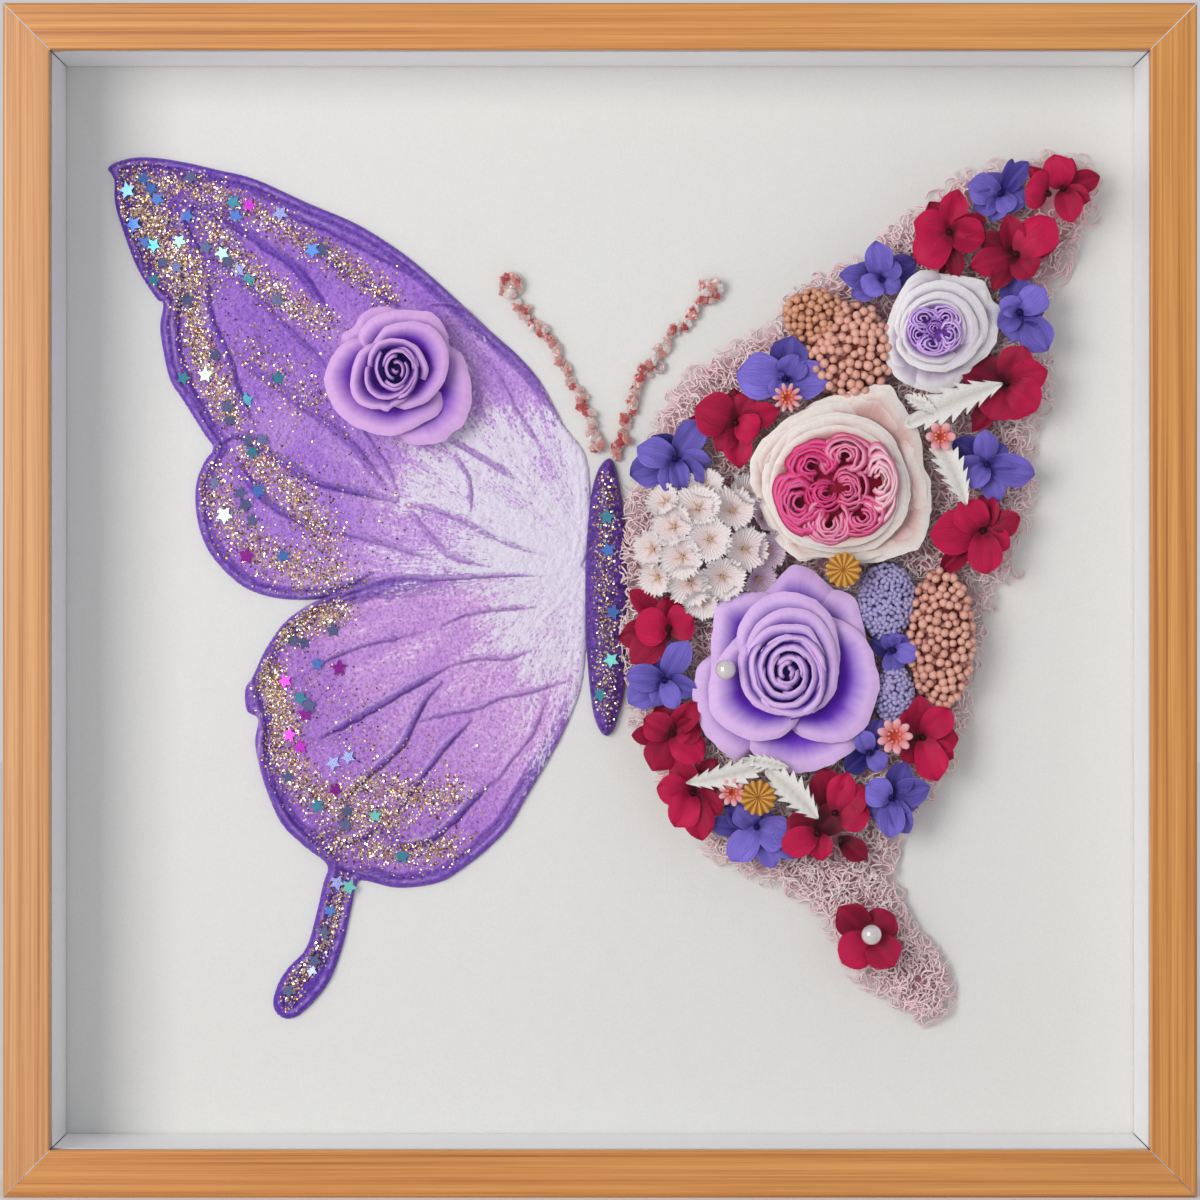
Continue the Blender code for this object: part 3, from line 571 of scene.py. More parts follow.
def veined(name, bump, **sockets):
    """A petal material: its tint with fine veins that fan out from the petal's foot."""
    look, shader = new_look(name, **sockets)
    vein = speckle(look, 2.0, stretched(look, (9.0, 1.2, 1.0), on_part=True), detail=3.0)
    dark = ramp(look, vein, (0.36, (255 - 120 * bump,) * 3), (0.62, WHITE))
    colour = multiplied(look, own_tint(look).outputs["Color"], dark)
    return surface(look, shader, colour, vein, bump, 0.0003)


def mottled(name, scale, dark, light, bump, distance=0.0002, detail=4.0, stretch=None, **sockets):
    """A material mottled between two colours, with a fine relief."""
    look, shader = new_look(name, **sockets)
    fibre = speckle(look, scale, stretched(look, stretch) if stretch else None, detail=detail)
    return surface(look, shader, ramp(look, fibre, (0.3, dark), (0.7, light)), fibre, bump, distance)


def painted():
    """Thick paint: a worm-like crust with painted shade and highlight, and dry-brush white in streaks from
    the root.
    """
    look, shader = new_look("paint", Roughness=0.30, Specular_IOR_Level=0.35)
    tint = own_tint(look)
    radial = speckle(look, 1.0, stretched(look, (75.0, 8.0, 1.0), on_part=True), detail=3.0)
    worms = speckle(look, 1050.0, detail=2.5, roughness=0.65)
    # Painted shade: the crust is darker where its bump is low.
    dark = ramp(look, worms, (0.34, (206, 192, 216)), (0.52, WHITE))
    # Painted highlight: a pale screened onto the crust's ridges.
    painted_shine = ramp(look, worms, (0.56, BLACK), (0.70, (96, 84, 100)))
    colour = mixed(look, 0.6, multiplied(look, tint.outputs["Color"], dark), painted_shine, "SCREEN")
    streaks = maths(look, "ADD", maths(look, "MULTIPLY", radial, 0.6), maths(look, "MULTIPLY", worms, 0.4))
    dry = maths(look, "ADD", streaks, maths(look, "SUBTRACT", tint.outputs["Alpha"], 0.5))
    cover = ramp(look, dry, (0.50, BLACK), (0.60, WHITE))
    return surface(look, shader, mixed(look, cover, colour, linear((234, 226, 244))), worms, 1.0, 0.0005)


def oak(name, across, light, dark, streak):
    """Oak with its grain along x or z: fine pores, bands of late wood and thin reddish streaks."""
    look, shader = new_look(name, Roughness=0.42, Coat_Weight=0.15, Coat_Roughness=0.3)
    wide, thin = (3.0, 520.0, 520.0), (16.0, 1900.0, 1900.0)
    if not across:
        wide, thin = wide[::-1], thin[::-1]
    band = speckle(look, 1.0, stretched(look, wide), detail=3.0, roughness=0.55)
    pores = speckle(look, 1.0, stretched(look, thin), detail=2.0)
    base = ramp(look, band, (0.30, streak), (0.40, dark), (0.62, light))
    pitted = ramp(look, pores, (0.35, (214, 200, 186)), (0.6, WHITE))
    return surface(look, shader, multiplied(look, base, pitted, 0.55), pores, 0.25, 0.0002)


def make_looks():
    """All materials by name."""
    pane, _ = new_look("clear_pane", Base_Color=(0.02, 0.03, 0.03, 1.0), Roughness=0.02, Alpha=0.05, IOR=1.45)
    return {
        "oak_across": oak("oak_across", True, (212, 148, 80), (194, 126, 60), (160, 92, 42)),
        "oak_upright": oak("oak_upright", False, (218, 154, 82), (198, 130, 62), (164, 94, 44)),
        "oak_pale": oak("oak_pale", False, (206, 152, 98), (190, 130, 76), (160, 98, 52)),
        "spacer": mottled("spacer", 500.0, (246, 246, 247), (252, 252, 252), 0.1, Roughness=0.32),
        "panel": mottled(
            "hardboard", 400.0, (112, 80, 54), (160, 122, 88), 0.3, 0.0003, detail=8.0, Roughness=0.8
        ),
        "steel": mottled(
            "zinc", 1.0, (160, 162, 166), (196, 198, 202), 0.15, 0.0001, stretch=(200.0, 2000.0, 3000.0),
            Metallic=1.0, Roughness=0.35,
        ),
        "pane": pane,
        "board": tinted("board", 1300.0, 0.04, 0.35, 0.0004, Roughness=0.9),
        "paint": painted(),
        "glitter": tinted("glitter", 500.0, 0.0, 0.0, Metallic=0.85, Roughness=0.22),
        "sequin": tinted("sequin", 300.0, 0.1, 0.0, Metallic=0.75, Roughness=0.25),
        "rose_petal": veined("rose_petal", 0.07, Roughness=0.55, Specular_IOR_Level=0.2),
        "sepal": veined("sepal", 0.42, Roughness=0.5, Specular_IOR_Level=0.18),
        "moss": tinted("moss_strand", 1500.0, 0.0, 0.1, Roughness=0.85, Specular_IOR_Level=0.1),
        "dry": tinted("dry", 1800.0, 0.12, 0.35, Roughness=0.75, Specular_IOR_Level=0.2),
        "berry": tinted("berry", 2500.0, 0.15, 0.2, Roughness=0.45, Specular_IOR_Level=0.35),
        "pearl": tinted(
            "pearl", 300.0, 0.03, 0.0, Metallic=0.3, Roughness=0.12, Coat_Weight=1.0, Coat_Roughness=0.03
        ),
        "crystal": tinted("crystal", 900.0, 0.2, 0.0, Roughness=0.07, Transmission_Weight=0.3, IOR=1.45),
    }  # fmt: skip


# Paint and board
def relief(batch, outline, height_of, tint_of, step):
    """A bed on the board inside an outline, as a grid whose rim lies on the outline."""
    edge = rounded(outline)
    low, high = edge.min(0) - step, edge.max(0) + step
    columns, rows = (np.arange(low[axis], high[axis] + step, step) for axis in range(2))
    spots = np.stack(np.meshgrid(columns, rows), -1).reshape(-1, 2)
    distance, nearest = from_edge(spots, edge)
    within = inside(spots, edge)
    kept = within | (distance < 0.75 * step)
    snapped = (~within & kept) | (distance < 0.35 * step)
    spots[snapped] = nearest[snapped]
    distance[snapped] = 0
    faces = grid_faces(len(rows), len(columns))
    faces = faces[kept[faces].all(1) & ~snapped[faces].all(1)]
    used = np.unique(faces)
    number = np.zeros(len(spots), int)
    number[used] = np.arange(len(used))
    spots, distance = spots[used], distance[used]
    heights = height_of(spots, distance)
    far, angle = about_root(spots)
    tints = tint_of(spots, distance, heights)
    batch.add(at(*spots.T, heights), number[faces][:, ::-1], tints, np.stack([angle, far / 100], 1))


def stroke_field(spots, strokes):
    """What strokes give at spots: height in metres, body, painted highlight on the lit side and painted
    crease shade, from 0 to 1.
    """
    height, body, painted_highlight, shaded_crease = (np.zeros(len(spots)) for _ in range(4))
    for width, tall, darkness, path in strokes:
        low, high = np.min(path, 0) - 4 * width, np.max(path, 0) + 4 * width
        close = np.flatnonzero(((spots > low) & (spots < high)).all(1))
        away, nearest, along = distance_to(spots[close], curved(path, 40))
        x, y = spots[close].T
        wander = 1.2 * noise(x / 11, y / 11, 3) + 0.5 * noise(x / 3.5, y / 3.5, 5)
        side = ((spots[close] - nearest) @ PAINTED_LIGHT_SIDE) / np.maximum(away, 0.4)
        fade = np.clip(6 * along, 0.35, 1) * np.clip(5 * (1 - along), 0.15, 1)
        half = 0.85 * width * (1 + 0.22 * noise(x / 9, y / 9, 3)) * (0.45 + 0.55 * fade)
        bead = bulge(away, half) ** 0.6 * (0.4 + 0.6 * fade)
        strands = 1 + 0.18 * np.sin(away * 2.4 + 2 * noise(x / 12, y / 12, 4))
        height[close] = np.maximum(height[close], 1.15 * tall * MILLIMETRE * bead * strands)
        stain = darkness * np.clip(1.5 - (away / (1.2 * half)) ** 2, 0, 1) * fade
        body[close] = np.maximum(body[close], stain)
        # Painted highlight: a pale line along the stroke on its lit side.
        painted_shine = glow(away + wander * 0.5 - 0.8 * half, 0.32 * half) * np.clip(1.3 * side, 0, 1)
        painted_highlight[close] = np.maximum(painted_highlight[close], painted_shine * fade)
        # Painted shade: a dark crease line on the stroke's side away from the light.
        line = glow(away + wander * 0.4 - half, 1.25) * np.clip(0.25 - side, 0, 1)
        shaded_crease[close] = np.maximum(shaded_crease[close], line * (0.4 + 0.6 * darkness) * (0.5 + 0.5 * fade))
    return height - 0.0004 * shaded_crease, body, painted_highlight, shaded_crease


class Wing:
    """A painted wing: its relief and its colours."""

    def __init__(self, strokes, purples, rim_width, reach):
        self.strokes = strokes
        self.purples = [linear(colour) for colour in purples]
        self.rim_width = rim_width
        self.reach = reach

    def shown(self, spots):
        """How much the rim shows. It fades out near the body."""
        return np.clip((about_root(spots)[0] - 110) / 130, 0, 1)

    def ropes(self, spots, edge):
        """The rounded rope of the rim and the thinner strand inside it, whichever is higher, from 0 to 1."""
        x, y = spots.T
        wide = 0.62 * self.rim_width * (1 + 0.15 * noise(x / 14, y / 14, 8))
        middle = self.rim_width * (1.75 + 0.3 * noise(x / 22, y / 22, 19))
        return np.maximum(bulge(edge - wide, 1.25 * wide) ** 0.6, 0.6 * bulge(edge - middle, 2.6) ** 0.7)

    def heights(self, spots, edge):
        """The bed, its rim and strokes, with streaks from the root, daubs and a worm-like crust."""
        far, angle = about_root(spots)
        x, y = spots.T
        strokes = stroke_field(spots, self.strokes)[0]
        streaks = grain(angle * 26, far / 38, 1) * 0.00022
        worms = noise(x / 3.6 + noise(x / 8, y / 8, 16), y / 3.6, 4) * 0.00020
        bed = PAINT_BASE * (1 - np.exp(-edge / 2.5))
        twist = 1 + 0.2 * noise(x / 4, y / 4, 14)
        rim = PAINT_RIM * self.ropes(spots, edge) * twist * (0.25 + 0.75 * self.shown(spots))
        daubs = grain(x / 12, y / 12, 2) * 0.00018
        crust = (streaks + daubs + worms) * (1 - np.exp(-edge / 3))
        return np.where(edge > 0, bed + rim + strokes + crust, SUNK)

    def tints(self, spots, edge, _heights):
        """Each spot's colour, with painted highlight and crease shade, and how dry the brush was as a fourth
        value.
        """
        deep, mid, soft, pale = self.purples
        far, angle = about_root(spots)
        x, y = spots.T
        drift = grain(x / 55, y / 55, 6) * 0.14 + noise(angle * 20, far / 50, 9) * 0.10
        share = far / self.reach + drift
        tint = blend(pale, soft, (share - 0.10) / 0.30)
        tint = blend(tint, mid, (share - 0.40) / 0.32)
        tint = blend(tint, deep, 0.55 * (share - 0.78) / 0.25)
        _, body, painted_highlight, shaded_crease = stroke_field(spots, self.strokes)
        shown = self.shown(spots)
        rim = self.ropes(spots, edge) * shown
        tint = blend(tint, deep, 0.75 * np.maximum(np.clip(1.6 * rim, 0, 1), body))
        # Painted highlight along the rim's rope, joined with the strokes' painted highlights.
        ridge = bulge(edge - 0.8 * self.rim_width, 2.0) * shown
        painted_shine = np.maximum(painted_highlight, ridge * np.clip(0.6 + 0.8 * noise(x / 7, y / 7, 17), 0, 1) * 0.5)
        tint = blend(tint, blend(mid, pale, np.full(len(x), 0.75)), 0.85 * painted_shine)
        # Painted shade: a dark line in the groove inside the rim, joined with the strokes' dark crease lines.
        inner = glow(edge - 1.38 * self.rim_width, 1.3) * shown
        tint = blend(tint, linear(CREASE_SHADE), 0.9 * np.clip(np.maximum(shaded_crease, 0.7 * inner), 0, 1))
        dry = np.clip(0.76 - 0.66 * share, 0, 1) * (1 - 0.8 * body) * (1 - 0.7 * shaded_crease)
        return np.concatenate([tint, dry[:, None]], 1)


def body_heights(spots, edge):
    """The painted body: a high rounded ridge with a crust of glitter."""
    across = np.clip(edge / 20, 0, 1)
    crust = grain(spots[:, 0] / 3, spots[:, 1] / 3, 21) * 0.0003
    return np.where(edge > 0, 0.0008 + 0.0036 * np.sqrt(across * (2 - across)) + crust, SUNK)


def body_tints(spots, _edge, _heights):
    """Dark purple with lighter flecks, and no dry brush."""
    fleck = 0.5 + 0.5 * noise(spots[:, 0] / 3, spots[:, 1] / 3, 22)
    tint = shades((62, 26, 118), (120, 66, 180), fleck)
    return np.concatenate([tint, np.zeros((len(tint), 1))], 1)


def scatter_glitter(batch, bands, outline, height_of, rng):
    """Small six-sided flakes of gold, at all tilts, along bands on the paint."""
    edge = rounded(outline)
    ring = np.arange(6) * math.pi / 3
    tints = np.array([linear(tint) for tint in FLAKE_TINTS])
    for width, count, path in bands:
        count = round(GLITTER_CROWD * count)
        way = through(path, 60)
        spots = way[rng.integers(0, 60, count)] + rng.normal(0, 0.62, (count, 2)) * width
        spots = spots[inside(spots, edge)]
        distance, _ = from_edge(spots, edge)
        spots, distance = spots[distance > 3], distance[distance > 3]
        base = at(*spots.T, height_of(spots, distance) + 0.00022)
        size = rng.uniform(*FLAKE_RADII, len(spots))
        lean, toward = rng.uniform(0, 0.6, len(spots)), rng.uniform(0, 2 * math.pi, len(spots))
        shade = rng.choice(4, len(spots), p=FLAKE_SHARES)
        right = size[:, None] * np.cos(ring)
        up = size[:, None] * np.sin(ring)
        out = (right * np.cos(toward)[:, None] + up * np.sin(toward)[:, None]) * np.tan(lean)[:, None]
        points = base[:, None, :] + np.stack([right, -out, up], -1)
        batch.add(points, np.arange(len(spots) * 6).reshape(-1, 6), np.repeat(tints[shade], 6, axis=0))


def scatter_stars(batch, stars, outline, height_of, rng):
    """Thin five-pointed sequins lying on the paint."""
    edge = rounded(outline)
    turns = np.arange(10) * math.pi / 5
    reach = np.where(np.arange(10) % 2, 0.5, 1.0)
    sides = np.array([(i, i + 10, (i + 1) % 10 + 10, (i + 1) % 10) for i in range(10)])
    for finish, places in stars.items():
        for place in places:
            spot = np.array([place], float)
            level = height_of(spot, from_edge(spot, edge)[0])[0] + 0.0007
            radius = STAR_RADIUS * (0.9 + 0.2 * rng.random()) * SCALE
            flat = np.stack([np.cos(turns) * reach, np.sin(turns) * reach, np.zeros(10)], -1) * radius
            flat = np.concatenate([flat, flat - (0, 0, 0.00012)])
            flat = turned(flat, rng.random() * 6, rng.uniform(0, 0.28), rng.random() * 6)
            batch.add(placed(flat, *place, level), sides, linear(STAR_TINTS[finish]))
            batch.faces += [[batch.count - 20 + i for i in range(10)]]


def make_painting(looks):
    """The painted wings and body, with their glitter and sequins."""
    rng = np.random.default_rng(7)
    fore = Wing(FORE_STROKES, FORE_PURPLES, rim_width=6.5, reach=500)
    hind = Wing(HIND_STROKES, HIND_PURPLES, rim_width=8, reach=400)
    for name, outline, height_of, tint_of, step, glitter, slot in (
        ("forewing", FORE_OUTLINE, fore.heights, fore.tints, PAINT_STEP, FORE_GLITTER, "purple_paint"),
        ("hindwing", HIND_OUTLINE, hind.heights, hind.tints, PAINT_STEP, HIND_GLITTER, "purple_paint"),
        ("body", BODY_OUTLINE, body_heights, body_tints, BODY_STEP, BODY_GLITTER, "dark_paint"),
    ):
        paint, gold, sequins = Batch(), Batch(), Batch()
        relief(paint, outline, height_of, tint_of, step)
        paint.piece(f"{name}_paint", looks["paint"], slot, f"painted_{name}")
        scatter_glitter(gold, glitter, outline, height_of, rng)
        gold.piece(f"{name}_glitter", looks["glitter"], slot, smooth=False)
        scatter_stars(sequins, STARS[name], outline, height_of, rng)
        sequins.piece(f"{name}_sequins", looks["sequin"], slot, smooth=False)


def make_board(looks):
    """The board, with a pebbled front."""
    line = np.linspace(-BOARD_HALF, BOARD_HALF, BOARD_GRID)
    x, z = np.meshgrid(line, line + SIDE / 2)
    pebble = grain(x * 420, z * 300, 31) * PEBBLE + noise(x * 60, z * 60, 32) * 0.00004
    front = np.stack([x, BOARD_FRONT + 0.00012 - pebble, z], -1)
    front[[0, -1], :, 1] = BOARD_FRONT
    front[:, [0, -1], 1] = BOARD_FRONT
    batch = Batch()
    batch.add(front, grid_faces(BOARD_GRID, BOARD_GRID), linear((238, 238, 235)))
    corners = [(a * BOARD_HALF, SIDE / 2 + b * BOARD_HALF) for a, b in ((-1, -1), (1, -1), (1, 1), (-1, 1))]
    box = [(x, y, z) for y in (BOARD_FRONT, BOARD_BACK) for x, z in corners]
    sides = [(i, (i + 1) % 4, (i + 1) % 4 + 4, i + 4) for i in range(4)]
    batch.add(box, [*sides, (7, 6, 5, 4)], linear((196, 190, 178)))
    batch.piece("textured_board", looks["board"], "board", "backing_board")


# Roses, as piece, slot, seed and heart
ROSES = {
    "lilac_rose": ("lilac_rose_petals", "lilac_petal", 3, (788, 672)),
    "painted_wing_rose": ("wing_rose_petals", "lilac_petal", 5, (395, 370)),
    "garden_rose": ("garden_rose_petals", "pink_petal", 11, (836, 488)),
    "white_rose": ("white_rose_petals", "white_petal", 17, (936, 329)),
}
# Petals, as (level of the rim, share of the reach at the foot, spots along the rim), from back to front
ROSE_PETALS = {
    "lilac_rose": (
        (0.34, 0.45, (
            (755, 600), (772, 586), (785, 570), (797, 564), (812, 570), (832, 588), (842, 604),
        )),
        (0.34, 0.45, ((812, 575), (832, 588), (854, 596), (860, 612), (866, 634), (868, 655))),
        (0.36, 0.45, (
            (748, 742), (743, 742), (762, 764), (779, 771), (801, 774), (825, 768), (856, 750),
            (866, 728),
        )),
        (0.36, 0.45, (
            (712, 650), (697, 668), (694, 682), (692, 697), (697, 715), (704, 732), (720, 750),
            (735, 762), (750, 757),
        )),
        (0.46, 0.45, (
            (708, 690), (710, 668), (712, 633), (717, 601), (735, 594), (765, 592), (785, 600),
        )),
        (0.48, 0.42, (
            (822, 602), (830, 614), (850, 624), (868, 641), (875, 660), (880, 686), (874, 708),
            (865, 729), (850, 740), (832, 744), (801, 738), (790, 730),
        )),
        (0.6, 0.42, (
            (740, 630), (730, 642), (716, 662), (708, 684), (710, 711), (720, 724), (734, 734),
            (750, 740), (766, 741), (780, 738), (793, 729), (803, 716),
        )),
        (0.68, 0.42, (
            (737, 660), (736, 642), (739, 624), (754, 604), (768, 595), (781, 591), (800, 594),
            (815, 599), (832, 616), (838, 636), (841, 655), (840, 680),
        )),
        (0.76, 0.45, (
            (742, 672), (744, 650), (750, 634), (760, 620), (775, 611), (787, 608), (808, 610),
            (820, 618), (829, 630), (836, 650), (839, 672), (836, 692), (826, 706), (814, 716),
        )),
        (0.8, 0.5, (
            (741, 640), (738, 660), (740, 678), (744, 694), (754, 706), (768, 713), (782, 716),
            (796, 716),
        )),
        (0.84, 0.55, (
            (745, 664), (748, 648), (756, 636), (768, 627), (780, 624), (796, 624), (810, 627),
            (818, 640), (824, 652), (828, 668), (826, 684),
        )),
        (0.88, 0.6, (
            (752, 652), (752, 668), (756, 685), (763, 704), (778, 714), (794, 717), (810, 714),
            (821, 702), (826, 686),
        )),
        (0.9, 0.65, (
            (757, 676), (757, 664), (760, 652), (770, 641), (786, 634), (802, 637), (812, 650),
            (820, 664), (824, 682), (818, 696),
        )),
    ),
    "painted_wing_rose": (
        (0.26, 0.4, ((338, 345), (342, 333), (352, 328), (360, 316), (370, 309), (385, 306), (402, 309))),
        (0.34, 0.4, (
            (396, 437), (406, 443), (420, 446), (438, 443), (446, 441), (450, 434), (461, 428),
            (468, 415), (472, 400), (471, 385), (468, 370), (462, 354), (449, 342),
        )),
        (0.44, 0.4, (
            (357, 352), (359, 332), (368, 320), (380, 314), (396, 310), (415, 310), (431, 312),
            (440, 319), (447, 332), (450, 348), (450, 366),
        )),
        (0.46, 0.4, (
            (366, 336), (352, 338), (340, 345), (329, 360), (324, 380), (328, 397), (338, 413),
            (352, 425), (372, 433), (395, 436), (412, 429), (428, 421), (441, 413), (448, 396),
        )),
        (0.66, 0.42, (
            (364, 352), (373, 341), (384, 327), (398, 322), (414, 321), (430, 325), (441, 335),
            (448, 350), (449, 366), (444, 382), (436, 394), (424, 404), (406, 410), (392, 408),
        )),
        (0.74, 0.5, (
            (378, 340), (366, 345), (357, 354), (352, 368), (350, 384), (352, 396), (360, 405),
            (371, 409), (380, 409), (387, 412), (393, 407), (404, 402), (413, 394),
        )),
        (0.82, 0.55, (
            (366, 366), (369, 352), (377, 342), (390, 338), (404, 339), (416, 345), (424, 356),
            (429, 369), (427, 381),
        )),
        (0.86, 0.6, (
            (364, 366), (364, 381), (368, 391), (377, 398), (387, 400), (399, 396), (409, 388),
            (416, 376), (419, 364), (415, 351),
        )),
    ),
    "garden_rose": (
        (0.4, 0.5, (
            (796, 412), (820, 399), (845, 393), (868, 386), (889, 384), (897, 396), (906, 409),
            (917, 424), (922, 444),
        )),
        (0.42, 0.5, (
            (900, 404), (916, 424), (922, 446), (924, 467), (930, 480), (932, 500), (930, 520),
            (926, 536),
        )),
        (0.42, 0.5, ((932, 505), (927, 532), (919, 549), (900, 555), (882, 562), (860, 563), (840, 561))),
        (0.46, 0.5, (
            (826, 558), (801, 561), (786, 550), (774, 538), (765, 520), (757, 500), (752, 480),
            (750, 465),
        )),
        (0.5, 0.5, (
            (908, 546), (890, 553), (866, 560), (840, 560), (816, 557), (798, 559), (784, 549),
            (776, 538),
        )),
        (0.5, 0.5, (
            (757, 505), (750, 482), (750, 460), (759, 444), (772, 431), (786, 419), (805, 409),
            (826, 403), (848, 402), (868, 409),
        )),
        (0.6, 0.5, (
            (762, 480), (765, 462), (773, 446), (786, 431), (806, 419), (830, 412), (855, 414),
            (876, 422), (892, 436), (902, 456), (907, 478), (905, 500),
        )),
        (0.62, 0.5, (
            (884, 430), (899, 448), (908, 472), (911, 496), (905, 518), (892, 536), (874, 549),
            (850, 555),
        )),
        (0.64, 0.5, (
            (880, 546), (862, 552), (840, 554), (818, 550), (799, 545), (783, 532), (770, 512),
            (762, 490), (762, 470), (770, 452),
        )),
        (0.72, 0.6, (
            (770, 492), (772, 470), (780, 453), (796, 437), (817, 428), (840, 425), (862, 429),
            (880, 441), (893, 459), (900, 482), (899, 500),
        )),
        (0.74, 0.6, (
            (786, 446), (774, 464), (769, 486), (771, 506), (780, 524), (794, 537), (814, 545),
            (836, 548), (860, 545), (880, 536), (894, 518), (900, 500), (900, 480),
        )),
    ),
    "white_rose": (
        (0.34, 0.45, (
            (915, 272), (936, 273), (960, 275), (984, 281), (990, 293), (993, 301), (1003, 309),
            (998, 325),
        )),
        (0.36, 0.45, (
            (994, 302), (1002, 311), (998, 324), (997, 342), (987, 356), (974, 366), (962, 372),
            (952, 386),
        )),
        (0.36, 0.45, (
            (978, 362), (966, 376), (952, 389), (940, 393), (924, 391), (906, 384), (893, 376),
        )),
        (0.44, 0.45, (
            (918, 391), (900, 381), (888, 368), (883, 350), (884, 332), (888, 320), (893, 305),
            (900, 291), (908, 279), (919, 270), (934, 270), (946, 276),
        )),
        (0.54, 0.5, (
            (896, 345), (894, 325), (899, 307), (908, 293), (922, 284), (940, 280), (957, 283),
            (973, 293), (984, 308), (989, 325), (985, 342), (974, 357),
        )),
        (0.6, 0.5, (
            (982, 320), (984, 337), (976, 353), (962, 365), (945, 372), (925, 371), (908, 363),
            (897, 350), (894, 335),
        )),
        (0.68, 0.55, (
            (899, 340), (900, 322), (907, 308), (920, 297), (938, 291), (955, 294), (969, 304),
            (977, 319), (979, 334), (973, 349), (961, 360),
        )),
        (0.76, 0.6, (
            (960, 358), (944, 364), (926, 362), (911, 355), (903, 343), (903, 328), (909, 315),
            (921, 305), (938, 300), (953, 303), (963, 314), (967, 330), (964, 346),
        )),
    ),
}  # fmt: skip
# Tints of the outer petals and of the heart, from the painted crease shade at a petal's foot to its light rim
ROSE_TINTS = {
    "lilac_rose": (((112, 44, 204), (232, 194, 248)), ((70, 20, 160), (232, 194, 248))),
    "painted_wing_rose": (((118, 44, 196), (228, 180, 240)), ((52, 8, 136), (222, 172, 240))),
    "garden_rose": (((218, 172, 166), (252, 246, 240)), ((190, 0, 66), (244, 84, 158), (255, 226, 232))),
    "white_rose": (((206, 190, 212), (252, 250, 251)), ((166, 98, 234), (218, 162, 250), (248, 232, 255))),
}
# Where a petal's painted crease shade ends and its light tint begins, as shares of its length
PETAL_SHADE_FADES = {
    "lilac_rose": (0.42, 0.82), "painted_wing_rose": (0.42, 0.84),
    "garden_rose": (0.70, 0.97), "white_rose": (0.66, 0.97),
}  # fmt: skip
# Shares of the reach at which a low petal has one more petal inside it
LAYERS = {"garden_rose": (0.95, 0.91), "white_rose": (0.94,)}
# Wound hearts, as (middle, half width, half height, petals)
BUDS = {"lilac_rose": ((788, 672), 31, 34, 14), "painted_wing_rose": ((396, 369), 18, 22, 7)}
# Quartered hearts, as half width and half height, petals to a bunch, and the bunches of folded petals,
# as (column, row, half width, half height, how light they are)
QUARTERS = {
    "garden_rose": ((63, 57), 6, (
        (826, 494, 17, 13, 0.05), (847, 488, 16, 17, 0.40), (863, 517, 20, 18, 0.35),
        (829, 524, 20, 23, 0.62), (799, 503, 24, 28, 0.18), (812, 466, 24, 20, 0.08),
        (845, 455, 22, 20, 0.60), (881, 480, 22, 32, 0.95),
    )),
    "white_rose": ((28, 26), 4, (
        (935, 328, 9, 8, 0.30), (924, 318, 14, 11, 0.60), (946, 318, 13, 11, 0.70),
        (918, 335, 11, 13, 0.60), (949, 335, 12, 13, 0.75), (933, 344, 15, 11, 0.65),
    )),
}  # fmt: skip
# Rows and columns of a petal's mesh
PETAL_MESH = (12, 33)
SMALL_MESH = (8, 25)
GOLDEN = 2.39996


def add_petal(batch, heart, rim, level, low, foot, tints, fade, room, rng, mesh=PETAL_MESH):
    """A petal that rises from a foot near the heart to a thin rim, which shows along the given spots."""
    seed = int(rng.integers(1, 99))
    rows, columns = mesh
    spots = 0.5 * (curved(rim, columns) + through(rim, columns))
    spots = heart + (spots - heart) * (1 + 0.012 * noise(spots[:, 0] / 7, spots[:, 1] / 7, seed))[:, None]
    u = np.linspace(-1, 1, columns)[None, :]
    v = np.linspace(0, 1, rows)[:, None]
    lip = np.clip((v - 0.8) / 0.2, 0, 1)
    bulge = 1 + 0.04 * np.sin(v * math.pi) * noise(u * 2 + seed, v * 2, seed)
    share = (foot + (1 - foot) * v) * bulge * (1 - 0.05 * u**8)
    spread = heart + (spots[None] - heart) * share[..., None]
    rise = np.sin(np.clip(v / 0.85, 0, 1) * math.pi / 2)
    height = low + (level - low) * rise - 0.05 * lip**2 - (0.06 * u**4 + 0.16 * u**12) * v
    height = height + 0.022 * noise(u * 4 + seed, v * 2 - seed, seed + 3) * v
    height = np.clip(height, 0.02, 1.0) * room[1]
    veins = 0.06 * noise(u * 22 + seed, v * 1.5, seed + 7)
    # Painted shade: the deep tint from the foot, in the creases, up to the fade.
    shade = np.clip((v - fade[0]) / (fade[1] - fade[0]), 0, 1) ** 0.9 + veins + rng.normal(0, 0.04)
    tint = shades(*tints, shade + 0 * u)
    points = at(spread[..., 0], spread[..., 1], room[0] + height)
    batch.add(points, grid_faces(rows, columns), tint, np.stack([u + 0 * v, v + 0 * u], -1))


def add_bud(batch, heart, wide, tall, count, tints, room, rng):
    """The wound heart of a rose: petals that close inward, the innermost on top."""
    for index in range(count):
        share = index / (count - 1)
        reach = (1 - share) ** 0.85 + 0.07
        turn = index * GOLDEN + np.linspace(-1.5, 1.5, 9)
        grown = reach * (1 + 0.16 * np.linspace(-1, 1, 9) + rng.normal(0, 0.015, 9))
        rim = np.stack([heart[0] + wide * grown * np.cos(turn), heart[1] + tall * grown * np.sin(turn)], -1)
        level = 0.90 + 0.07 * math.sin(share * math.pi * 0.9) - 0.04 * share**3
        foot = 1 + 0.22 / reach
        add_petal(batch, np.array(heart), rim, level, level - 0.12, foot, tints, (0.10, 0.50), room, rng)
    add_shaded_floor(batch, heart, wide, tall, 0.72, tints[0], room)


